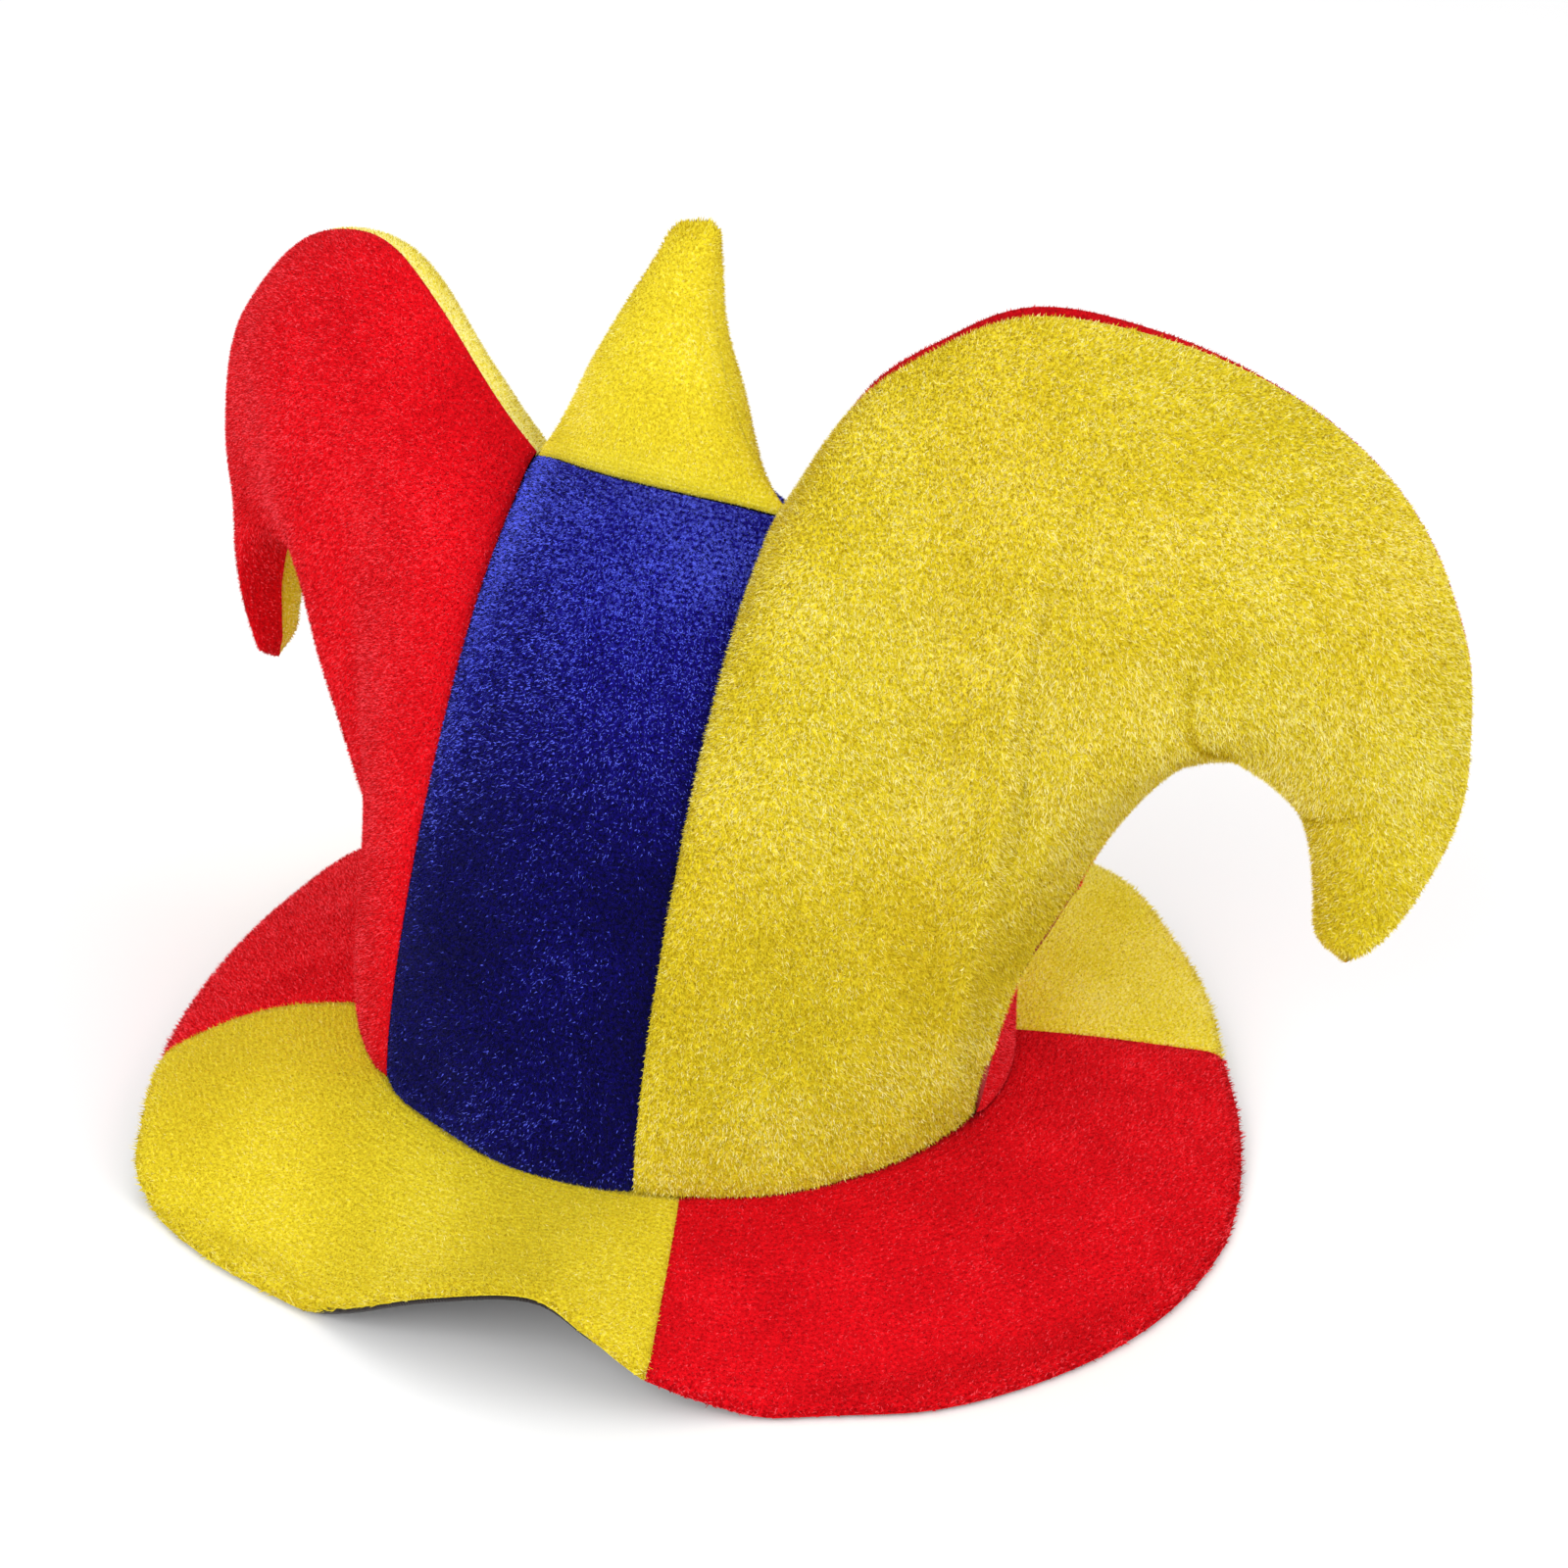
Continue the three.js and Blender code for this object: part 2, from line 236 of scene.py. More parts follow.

# Puckers in the front of a horn: from and to as x and height, half width, depth; the depth also sets the
# tufts' painted shade along the crease
RIGHT_PUCKERS = [
    ((152.5, 146), (149.5, 109), 3.5, 1.3),
    ((156, 122), (151, 109), 3.0, 0.7),
    ((183, 100.5), (167, 93), 3.5, 1.0),
]
LEFT_PUCKERS = [
    ((-131, 112), (-128, 86), 4.0, 0.6),
]

# Grid of each panel, across and up
CROWN_GRID = (30, 72)
HORN_FRONT_GRID = (110, 56)
HORN_BACK_GRID = (92, 44)
SPIKE_GRID = (36, 46)
BRIM_GRID = (76, 28)
LINING_GRID = (231, 16)

# Seeds of the random draws: one for each group of panels, and the step to the next panel
CROWN_SEED = 100
HORN_SEED = 200
SPIKE_SEED = 400
BRIM_SEED = 500
SEED_STEP = 50

# The faces of a panel that has a front and a back
FACES = ((-1, "front"), (1, "back"))

# Sewing, in millimetres: how far the lowest rows are tucked into the brim's seam, and which ones
HEM_TUCK = 1.4
TUCK_REACH = 3.0
TUCK_BELOW = 8.0

# How far a seam's pull, its sideways hold and the calm beside it reach
SEAM_FADE = 5.0
SEAM_CALM = 12.0
TOP_TURN = 4.0
CORNER_HOLD = 0.8
CORNER_REACH = 9.0
RIPPLE_SIZE = 42.0

# Horn seams: how far their cloth is let out at the hem and the ridge, and how deep that reaches
HEM_OUT = 2.8
HEM_REACH = 7.0
RIDGE_OUT = 1.4
CREST_OUT = 0.3
SEAM_REACH = 6.0
LOOSE_FROM = 20.0
SEWN_AWAY = 60.0
HORN_TIP_CALM = 12.0
SPIKE_TIP_CALM = 6.0
TIP_ROUND = 3.5

# Brush of a plain panel's pile; grow_pile says what each means
PLAIN_BRUSH = {
    "coarse": 0.8,
    "speck": 0.8,
    "dense": 1.0,
    "trim": 0.3,
    "rows": (0.0, 0.0, 1.0),
    "creases": [],
}

# Pile, in millimetres: size of its patches, root depth, height kept over the floor; how much it swirls
BRUSHED_PATCH = 45.0
NAP_PATCH = 30.0
WARM_PATCH = 60.0
SWIRL = 0.35
NAP_CHANGE = 0.04
ROOT_SINK = 0.15
FLOOR_CLEAR = 0.3
RISE_SPREAD = math.radians(13)
RISE_LEAST = math.radians(8)
RISE_MOST = math.radians(85)
ROLL_SPREAD = math.radians(32)
# Painted shade of the tufts along a crease, per millimetre of its depth
CREASE_PAINTED_SHADE = 0.65

# Palette steps of a tuft's two root corners and its tip, painted shade at the roots and painted light at
# the tip: shade, warmth
TUFT_PAINTED_SHADE_STEPS = [(-0.13, -0.004), (-0.11, 0.004), (0.12, 0.0)]

# Shade of the crown's blue: all over; painted light high up and painted sheen along its first seam, both
# lighter; lighter at its foot
CROWN_TONE = -0.37
CROWN_PAINTED_LIGHT_HIGH = 0.48
CROWN_PAINTED_SHEEN_EDGE = 0.22
CROWN_LIGHTER_FOOT = 0.08

# Painted light and shade of the brim's quarters, darker at the front and right and lighter at the back, and
# the contrast of their colours
BRIM_PAINTED_LIGHT = {"front": -0.06, "right": -0.1, "back": 0.06, "left": 0.0}
BRIM_SPECK = {"red": 1.2, "yellow": 0.55}

# Detail of the cloth finishes: repeats per metre, and the lining's thread in millimetres
FIBRE_SCALE = 1400.0
FLECK_SCALE = 1100.0
WEAR_SCALE = 90.0
DUST_SCALE = 120.0
LINING_THREAD = 0.9

# Lamps: size, azimuth and elevation in degrees, distance
LAMPS = {
    "key": (1.3, 5, 34, 1.7),
    "fill": (1.6, 100, 26, 1.8),
    "low": (1.0, 5, 7, 1.9),
    "back": (1.4, 230, 58, 1.8),
}

# The middle of the view from the crown's middle, in millimetres, and the floor's reach
VIEW_RIGHT = 25.83
VIEW_UP = 56.94
FLOOR_REACH = 6.0


def linear(red, green, blue):
    """A screen colour, 0 to 255 each, as the light it stands for."""
    parts = (red / 255, green / 255, blue / 255)
    return tuple(part / 12.92 if part < 0.04 else ((part + 0.055) / 1.055) ** 2.4 for part in parts)


def clamp(value):
    return np.clip(value, 0.0, 1.0)


def blend(first, second, share):
    return first + (second - first) * share


def ease(value):
    share = clamp(value)
    return share * share * (3 - 2 * share)


def through(rows):
    """A smooth curve through the rows of a table, read at any row number."""
    table = np.array(rows, float)
    before = 2 * table[0] - table[1]
    after = 2 * table[-1] - table[-2]
    table = np.vstack([before, table, after])
    last = len(rows) - 2

    def curve(position):
        start = np.clip(np.floor(position).astype(int), 0, last)
        share = (position - start)[..., None]
        a, b, c, d = (table[start + step] for step in range(4))
        value = 2 * b + (c - a) * share
        value = value + (2 * a - 5 * b + 4 * c - d) * share**2
        value = value + (3 * b - a - 3 * c + d) * share**3
        return np.moveaxis(value / 2, -1, 0)

    return curve


def spot(x, y, z):
    return np.stack(np.broadcast_arrays(x, y, z), axis=-1)


def seam_height(x):
    return -SEAM_DROP - SEAM_TILT * x


def ring_depth(x, face):
    """How far the crown seam's egg shape lies from the middle at a given x."""
    half = np.where(x > 0, RING_RIGHT, RING_LEFT)
    deep = RING_FRONT if face < 0 else RING_BACK
    return deep * np.sqrt(np.maximum(0.0, 1 - (x / half) ** 2))


def ring_radius(angle):
    half = np.where(np.cos(angle) > 0, RING_RIGHT, RING_LEFT)
    deep = np.where(np.sin(angle) < 0, RING_FRONT, RING_BACK)
    return 1 / np.hypot(np.cos(angle) / half, np.sin(angle) / deep)


def crested(horn, section):
    """1 along the part of a horn where its back puffs up over the ridge seam."""
    return ease((section - CREST_FROM) / CREST_OVER) * ease((horn["crest_end"] - section) / CREST_FADE)


def horn_surface(horn, sections, face):
    """A horn's face: along runs from the middle panel to the tip, up from hem to ridge."""
    curve = through(sections)
    last = len(sections) - 1

    def surface(along, up):
        section = along * last
        ridge_x, ridge_z, hem_x, hem_rise, puff = curve(section)
        closed = ease((section - CLOSE_FROM) / CLOSE_OVER)
        height = blend(np.sin(up * math.pi / 2), (1 - np.cos(up * math.pi)) / 2, closed)
        rise = np.maximum(0.0, hem_rise)
        hem_z = rise + seam_height(horn["sign"] * hem_x) * clamp(1 - rise / HEM_FREE)
        x = blend(hem_x, ridge_x, height)
        z = blend(hem_z, ridge_z, height)
        fall = np.maximum(0.0, 1 - height**CROWN_FALL) ** (1 / CROWN_FALL)
        wall = ring_depth(horn["sign"] * hem_x, face) * fall
        lens = np.maximum(0.0, 1 - (2 * height - 1) ** 2)
        oval = lens ** np.where((height < 0.5) & (face > 0), horn["hem_round"], 0.5)
        stuffing = puff * (1.0 if face < 0 else horn["back_puff"]) * oval
        out = np.maximum(0.0, x - SWEEP_START)
        turn = math.tan(math.radians(horn["sweep"])) * SWEEP_GAIN
        sweep = turn * out * out / (out + SWEEP_EASE) * ease(z / SWEEP_RISE)
        swung = blend(rise, np.maximum(rise, z), clamp(rise / HEM_BACK_MEET))
        swing = horn["hem_back"] * (1 - height) * clamp((swung - HEM_BACK_FROM) / HEM_BACK_OVER)
        lean = TOP_LEAN * clamp(z / TOP_HEIGHT) ** 2
        below = (1 - height) / CREST_PLACE
        crest = (horn["crest"] if face > 0 else 0.0) * crested(horn, section) * below * np.exp(1 - below)
        y = lean + sweep + swing + CREST_BACK * crest + face * np.hypot(wall, stuffing)
        return spot(horn["sign"] * x, y, z + crest)

    return surface


def crown_surface(face):
    """The middle panel's face, held between the first sections of the two horns."""
    left = horn_surface(HORN_LEFT, LEFT_SECTIONS, face)
    right = horn_surface(HORN_RIGHT, RIGHT_SECTIONS, face)

    def surface(across, up):
        side = 2 * across - 1
        start = np.zeros_like(up)
        place = blend(left(start, up), right(start, up), ((side + 1) / 2)[..., None])
        height = np.sin(up * math.pi / 2)
        round_out = ring_depth(PANEL_HALF * side, face) - ring_depth(np.array(PANEL_HALF), face)
        lens = 1 - side * side
        place[..., 1] += face * (round_out * (1 - height) + TOP_BULGE * lens * height)
        place[..., 2] += TOP_RISE * lens * height**3
        return place

    return surface


def spike_surface(face):
    """The spike's face, from its lens-shaped foot to its blunt tip."""
    curve = through(SPIKE_SECTIONS)
    last = len(SPIKE_SECTIONS) - 1

    def surface(across, up):
        left_x, left_z, right_x, right_z, deep, middle = curve(up * last)
        side = -np.cos(across * math.pi)
        roundness = clamp(up * SPIKE_ROUND)
        lens = np.maximum(0.0, 1 - side * side)
        z = blend(left_z, right_z, (side + 1) / 2) + TOP_RISE * lens * (1 - roundness) ** 2
        y = middle + face * deep * blend(lens, np.sqrt(lens), roundness)
        return spot(blend(left_x, right_x, (side + 1) / 2), y, z)

    return surface


def brim_surface(lift_off, first_row, last_row):
    """The brim between two of its wave rows, raised off its lowest face."""
    turn = [(row[0] + 360, row[1] + 360, *row[2:]) for row in BRIM_WAVES[:2]]
    wave = through(BRIM_WAVES + turn)

    def surface(round_share, out_share):
        out = 1 - (1 - out_share) ** BRIM_CROWD
        root, edge, reach, lift, bow = wave(blend(first_row, last_row, round_share))
        angle = np.radians(blend(root, edge, out) + bow * np.sin(out * math.pi))
        start = ring_radius(angle) - FRAME_CLOTH
        radius = blend(start, reach, out)
        top = SEAM_HEIGHT + seam_height(start * np.cos(angle)) - GAP - BRIM_STACK
        fall = blend(top, lift, BRIM_LEVEL * out + (1 - BRIM_LEVEL) * out * out)
        soft = clamp((fall + FLOOR_EASE) / (2 * FLOOR_EASE))
        rest = np.where(fall > FLOOR_EASE, fall, FLOOR_EASE * soft * soft)
        z = rest + lift_off - SEAM_HEIGHT
        return spot(radius * np.cos(angle), radius * np.sin(angle), z)

    return surface


def patches(spots, size, seed):
    """A smooth patchy field, about -1 to 1, with patches of the given size."""
    rng = np.random.default_rng(seed)
    total = np.zeros(spots.shape[:-1])
    for _ in range(7):
        way = rng.normal(size=3)
        way *= 2 * math.pi / size * rng.uniform(0.5, 1.4) / np.linalg.norm(way)
        total += np.sin(spots @ way + rng.uniform(0, 2 * math.pi))
    return total / 2.6


def clumps(spots, size, seed):
    """A random value for each small clump of the pile, the same for all spots in it."""
    cells = np.floor(spots / size).astype(np.int64)
    mixed = cells @ np.array([73856093, 19349663, 83492791]) + seed * 2654435
    return np.random.default_rng(seed).normal(size=4096)[mixed % 4096]


def along_crease(spots, start, stop):
    """How far spots lie from a crease, seen from the front, and its strength: it grows to its stop."""
    start = np.array(start, float)
    line = np.array(stop, float) - start
    reached = spots[..., [0, 2]] - start
    share = clamp(reached @ line / (line @ line))
    away = np.linalg.norm(reached - share[..., None] * line, axis=-1)
    return away, np.sqrt(0.25 + 0.75 * share)


def unit(vectors, least=1e-9):
    """Vectors of length 1; those shorter than least stay short."""
    return vectors / np.maximum(np.linalg.norm(vectors, axis=-1, keepdims=True), least)


class Panel:
    """A cloth panel on a grid of spots, in millimetres from the crown's middle."""

    def __init__(self, surface, cols, rows, facing):
        cross = np.linspace(0.0, 1.0, cols + 1)
        up = np.linspace(0.0, 1.0, rows + 1)
        self.spots = surface(*np.meshgrid(cross, up, indexing="ij"))
        self.facing = np.array(facing, float)
        self.tip = np.array(TIP_REACH)
        across_steps = np.linalg.norm(np.diff(self.spots, axis=0), axis=2)
        up_steps = np.linalg.norm(np.diff(self.spots, axis=1), axis=2)
        self.across = np.vstack([np.zeros((1, rows + 1)), np.cumsum(across_steps, axis=0)])
        self.up = np.hstack([np.zeros((cols + 1, 1)), np.cumsum(up_steps, axis=1)])

    @property
    def from_start(self):
        return self.across

    @property
    def from_end(self):
        return self.across[-1:] - self.across

    @property
    def from_hem(self):
        return self.up

    @property
    def from_top(self):
        return self.up[:, -1:] - self.up

    def edge(self):
        """Distance from the nearest edge of the panel."""
        return np.minimum.reduce([self.from_start, self.from_end, self.from_hem, self.from_top])

    def crossed(self):
        """Square to the cloth by the grid's own order."""
        return np.cross(np.gradient(self.spots, axis=0), np.gradient(self.spots, axis=1))

    def normals(self):
        return unit(self.crossed()) * self.turn()

    def turn(self):
        """1 where the grid's own order faces outwards, -1 where it faces inwards."""
        return 1.0 if (self.crossed() @ self.facing).sum() > 0 else -1.0

    def push(self, amount, way):
        self.spots = self.spots + way * np.asarray(amount)[..., None]

    def pucker(self, creases):
        """Draws the cloth in along short creases that end just over the hem."""
        way = self.normals()
        inside = 1 - np.exp(-((self.from_hem / HEM_REACH) ** 2))
        for start, stop, half_width, depth in creases:
            away, strength = along_crease(self.spots, start, stop)
            self.push(-depth * strength * inside * np.exp(-((away / half_width) ** 2)), way)

    def cell_areas(self):
        first = self.spots[1:, 1:] - self.spots[:-1, :-1]
        second = self.spots[:-1, 1:] - self.spots[1:, :-1]
        return np.linalg.norm(np.cross(first, second), axis=2) / 2

    def flat_size(self):
        """The panel's cut: width and length of its rectangle and its own area, in metres."""
        width = self.across[-1].max() * MM
        length = self.up[:, -1].max() * MM
        return (width, length), min(self.cell_areas().sum() * MM * MM, width * length)


def in_frame(spots):
    """Spots from the crown's middle as frame metres."""
    return (spots + CROWN) * MM


class Wire:
    """A shader value that Python's own operators work on: each adds a Math node."""

    def __init__(self, finish, socket):
        self.finish = finish
        self.socket = socket

    def math(self, operation, *values):
        sockets = {place: value for place, value in enumerate(values)}
        return self.finish.add("ShaderNodeMath", {"operation": operation}, sockets)

    def __add__(self, other):
        return self.math("ADD", self, other)

    __radd__ = __add__

    def __sub__(self, other):
        return self.math("SUBTRACT", self, other)

    def __rsub__(self, other):
        return self.math("SUBTRACT", other, self)

    def __mul__(self, other):
        return self.math("MULTIPLY", self, other)

    __rmul__ = __mul__

    def sine(self):
        return self.math("SINE", self)


class Finish:
    """One material and the nodes that make its look."""

    def __init__(self, name):
        self.material = bpy.data.materials.new(name)
        self.material.use_nodes = True
        self.tree = self.material.node_tree
        self.tree.nodes.clear()

    def add(self, kind, settings=None, sockets=None, out=0):
        """Adds a node of a kind, sets it, fills its sockets with values or wires, and gives one output."""
        node = self.tree.nodes.new(kind)
        for name, value in (settings or {}).items():
            if name == "stops":
                self.set_stops(node.color_ramp, value)
            else:
                setattr(node, name, value)
        for name, value in (sockets or {}).items():
            socket = node.inputs[name]
            if isinstance(value, Wire):
                self.tree.links.new(value.socket, socket)
            else:
                socket.default_value = value
        return Wire(self, node.outputs[out] if node.outputs else None)

    def set_stops(self, ramp, stops):
        while len(ramp.elements) < len(stops):
            ramp.elements.new(0.5)
        for element, (place, colour) in zip(ramp.elements, stops):
            element.position = place
            element.color = (*colour, 1.0)

    def mix(self, share, first, second, blend_type="MIX"):
        """A colour mix: first where share is 0, second where it is 1."""
        first = first if isinstance(first, Wire) else (*first, 1.0)
        second = second if isinstance(second, Wire) else (*second, 1.0)
        settings = {"data_type": "RGBA", "blend_type": blend_type}
        return self.add("ShaderNodeMix", settings, {0: share, 6: first, 7: second}, out=2)

    def noise(self, vector, scale, detail):
        sockets = {"Vector": vector, "Scale": scale, "Detail": detail}
        return self.add("ShaderNodeTexNoise", {}, sockets)

    def lengths(self, uv_map):
        """The two lengths of a UV map: across and along."""
        flat = self.add("ShaderNodeUVMap", {"uv_map": uv_map})
        return [self.add("ShaderNodeSeparateXYZ", {}, {"Vector": flat}, out=out) for out in (0, 1)]

    def place(self):
        """Object coordinates."""
        return self.add("ShaderNodeTexCoord", {}, {}, out=3)

    def finish_with(self, **sockets):
        """Closes the material with one Principled shader."""
        named = {name.replace("_", " "): value for name, value in sockets.items()}
        shader = self.add("ShaderNodeBsdfPrincipled", {}, named)
        self.add("ShaderNodeOutputMaterial", {}, {"Surface": shader})
        return self.material


class HatCloth(bpy.types.PropertyGroup):
    """The backing cloth of every plush panel."""

    thickness: FloatProperty(
        name="Thickness",
        description="Thickness of the backing under the pile",
        default=0.9 * MM,
        min=0.1 * MM,
        unit="LENGTH",
    )
    pile_depth: FloatProperty(
        name="Pile Depth",
        description="How far the backing lies below the panel's outer form",
        default=1.2 * MM,
        min=0.0,
        unit="LENGTH",
    )
    seam_dip: FloatProperty(
        name="Seam Dip",
        description="How far the cloth is drawn in along a seam",
        default=1.5 * MM,
        min=0.0,
        unit="LENGTH",
    )
    seam_width: FloatProperty(
        name="Seam Width",
        description="How far from a seam the cloth is drawn in",
        default=3.6 * MM,
        min=0.5 * MM,
        unit="LENGTH",
    )
    ripple: FloatProperty(
        name="Ripple",
        description="Height of the soft unevenness of the stuffed cloth",
        default=0.7 * MM,
        min=0.0,
        unit="LENGTH",
    )
    knit_row: FloatProperty(
        name="Knit Row",
        description="Spacing of the backing's knitted rows",
        default=KNIT_ROW * MM,
        min=0.2 * MM,
        unit="LENGTH",
    )
    lining_colour: FloatVectorProperty(
        name="Lining Colour",
        description="Colour of the dark cloth under the brim",
        default=linear(31, 24, 24),
        size=3,
        min=0.0,
        max=1.0,
        subtype="COLOR",
    )


def pile_settings(word, length, per_mm2, rise, colours, contrast, clump, glint, sheen):
    """The settings of one pile with its own defaults: lengths in millimetres, its rise in degrees."""
    deep, middle, light = (linear(*colour) for colour in colours)
    return {
        "length": FloatProperty(
            name="Length",
            description=f"Length of a tuft of the {word} pile",
            default=length * MM,
            unit="LENGTH",
        ),
        "width": FloatProperty(
            name="Width",
            description="Width of a tuft at its root",
            default=0.5 * MM,
            unit="LENGTH",
        ),
        "per_mm2": FloatProperty(
            name="Tufts per Square Millimetre",
            description="How densely the tufts stand",
            default=per_mm2,
            min=0.1,
        ),
        "rise": FloatProperty(
            name="Rise",
            description="Angle of a tuft over the cloth",
            default=math.radians(rise),
            subtype="ANGLE",
        ),
        "spread": FloatProperty(
            name="Spread",
            description="How far tufts stray from the way the pile is brushed",
            default=math.radians(60),
            subtype="ANGLE",
        ),
        "deep": FloatVectorProperty(
            name="Deep Shade",
            description="Shade of the tufts that lie flat",
            default=deep,
            size=3,
            subtype="COLOR",
        ),
        "middle": FloatVectorProperty(
            name="Middle Shade",
            description="Shade of most tufts",
            default=middle,
            size=3,
            subtype="COLOR",
        ),
        "light": FloatVectorProperty(
            name="Light Shade",
            description="Shade of the tufts that stand up",
            default=light,
            size=3,
            subtype="COLOR",
        ),
        "contrast": FloatProperty(
            name="Contrast",
            description="How much the shade differs from tuft to tuft",
            default=contrast,
            min=0.0,
        ),
        "clump": FloatProperty(
            name="Clump",
            description="Size of the clumps in which tufts share a shade",
            default=clump * MM,
            min=0.1 * MM,
            unit="LENGTH",
        ),
        # Painted glints: random bright specks in the tufts' colour
        "glint": FloatProperty(
            name="Glint",
            description="How much the lightest tufts stand out",
            default=glint,
            min=0.0,
        ),
        "sheen": FloatProperty(
            name="Sheen",
            description="Strength of the soft shine at grazing angles",
            default=sheen,
            min=0.0,
            max=1.0,
        ),
    }


class YellowPile(bpy.types.PropertyGroup):
    """The golden yellow plush."""

    __annotations__ = pile_settings(
        "yellow",
        length=1.7,
        per_mm2=3.2,
        rise=50,
        colours=((184, 156, 12), (235, 217, 42), (255, 248, 172)),
        contrast=0.38,
        clump=0.6,
        glint=0.0,
        sheen=0.12,
    )


class RedPile(bpy.types.PropertyGroup):
    """The bright red plush."""

    __annotations__ = pile_settings(
        "red",
        length=1.5,
        per_mm2=3.3,
        rise=55,
        colours=((168, 0, 10), (232, 8, 24), (255, 78, 90)),
        contrast=0.65,
        clump=0.7,
        glint=0.1,
        sheen=0.06,
    )


class BluePile(bpy.types.PropertyGroup):
    """The deep blue velvet."""

    __annotations__ = pile_settings(
        "blue",
        length=1.2,
        per_mm2=3.6,
        rise=48,
        colours=((2, 0, 38), (17, 8, 122), (100, 114, 255)),
        contrast=1.0,
        clump=0.7,
        glint=0.15,
        sheen=0.15,
    )


class HatStage(bpy.types.PropertyGroup):
    """The pale stage, its lamps and its camera."""

    floor_colour: FloatVectorProperty(
        name="Floor Colour",
        description="Colour of the pale floor",
        default=(0.97, 0.97, 0.97),
        size=3,
        min=0.0,
        max=1.0,
        subtype="COLOR",
    )
    sky: FloatProperty(
        name="Sky",
        description="Strength of the even light from all round",
        default=0.7,
        min=0.0,
    )
    key: FloatProperty(
        name="Key Lamp",
        description="Power of the large lamp in front",
        default=14.0,
        min=0.0,
        unit="POWER",
    )
    fill: FloatProperty(
        name="Fill Lamp",
        description="Power of the large lamp at the right",
        default=13.0,
        min=0.0,
        unit="POWER",
    )
    low: FloatProperty(
        name="Low Lamp",
        description="Power of the lamp near the floor in front",
        default=3.0,
        min=0.0,
        unit="POWER",
    )
    back: FloatProperty(
        name="Back Lamp",
        description="Power of the lamp above and behind",
        default=7.0,
        min=0.0,
        unit="POWER",
    )
    azimuth: FloatProperty(
        name="Azimuth",
        description="Angle of the camera round the hat from its front",
        default=math.radians(36),
        subtype="ANGLE",
    )
    elevation: FloatProperty(
        name="Elevation",
        description="Angle of the camera over the floor",
        default=math.radians(30),
        subtype="ANGLE",
    )
    distance: FloatProperty(
        name="Distance",
        description="From the camera to the middle of its view",
        default=1.1,
        min=0.2,
        unit="LENGTH",
    )
    lens: FloatProperty(
        name="Lens",
        description="Focal length of the camera in millimetres",
        default=89.1,
        min=10.0,
    )


class HatSettings(bpy.types.PropertyGroup):
    """Everything that can be changed on the hat."""

    cloth: PointerProperty(type=HatCloth, name="Cloth", description="Backing cloth and lining")
    yellow: PointerProperty(type=YellowPile, name="Yellow Pile", description="Golden yellow plush")
    red: PointerProperty(type=RedPile, name="Red Pile", description="Bright red plush")
    blue: PointerProperty(type=BluePile, name="Blue Pile", description="Deep blue velvet")
    stage: PointerProperty(type=HatStage, name="Stage", description="Floor, lamps and camera")


def material_named(name, make):
    """A material by name, made the first time it is asked for."""
    return bpy.data.materials.get(name) or make(name)


def backing_height(finish, knit_row):
    """Relief of the knitted backing: rows along the cloth, and fine fibres."""
    across, along = finish.lengths(CLOTH_MAP)
    place = finish.place()
    rows = (along * (2 * math.pi / knit_row)).sine() * 0.5 + 0.5
    loops = (across * (2 * math.pi / (0.8 * knit_row))).sine() * 0.5 + 0.5
    fibres = finish.noise(place, FIBRE_SCALE, 3.0)
    return rows, rows * 0.2 + loops * 0.1 + fibres * 0.9, place


def shades(pile):
    """The stops of a pile's shades, from lying to standing tufts."""
    return [(0.0, tuple(pile.deep)), (0.55, tuple(pile.middle)), (1.0, tuple(pile.light))]


def plush_backing(name, pile, knit_row):
    """The coloured cloth from which a pile grows, with its random tone and its painted light and shade."""
    finish = Finish(name)
    rows, height, place = backing_height(finish, knit_row)
    # Random tone and painted light and shade of the panel, read from its attribute
    nap = finish.add("ShaderNodeAttribute", {"attribute_name": TONE_AND_PAINTED_LIGHT_ATTRIBUTE}, {}, out=2)
    fleck = finish.noise(place, FLECK_SCALE, 2.0)
    stand = nap + fleck * 0.9 + rows * 0.08
    colour = finish.add("ShaderNodeValToRGB", {"stops": shades(pile)}, {"Fac": stand})
    normal = finish.add("ShaderNodeBump", {}, {"Strength": 0.8, "Distance": 0.4 * MM, "Height": height})
    return finish.finish_with(
        Base_Color=colour,
        Roughness=0.9,
        Specular_IOR_Level=0.1,
        Sheen_Weight=pile.sheen,
        Sheen_Tint=(*pile.light, 1.0),
        Normal=normal,
    )


def inner_backing(name, pile, knit_row):
    """The bare inner side of the cloth, a plain knit in a duller shade."""
    finish = Finish(name)
    rows, height, place = backing_height(finish, knit_row)
    dull = tuple(0.55 * part + 0.05 for part in pile.middle)
    wear = finish.noise(place, WEAR_SCALE, 4.0)
    colour = finish.mix(wear, tuple(0.5 * part + 0.02 for part in pile.deep), dull)
    normal = finish.add("ShaderNodeBump", {}, {"Strength": 1.0, "Distance": 0.5 * MM, "Height": height})
    return finish.finish_with(Base_Color=colour, Roughness=0.95, Specular_IOR_Level=0.15, Normal=normal)


def pile_finish(name, pile):
    """The tufts: the palette map runs from flat to standing tufts one way, from cool to warm the other."""
    finish = Finish(name)
    stand, warmth = finish.lengths(PALETTE_MAP)
    shade = finish.add("ShaderNodeValToRGB", {"stops": shades(pile)}, {"Fac": stand})
    tint = finish.mix(warmth, (0.94, 1.0, 1.1), (1.0, 0.93, 0.85))
    colour = finish.mix(1.0, shade, tint, "MULTIPLY")
    return finish.finish_with(
        Base_Color=colour,
        Roughness=0.55,
        Specular_IOR_Level=0.1,
        Sheen_Weight=pile.sheen,
        Sheen_Roughness=0.4,
        Sheen_Tint=(*pile.light, 1.0),
    )


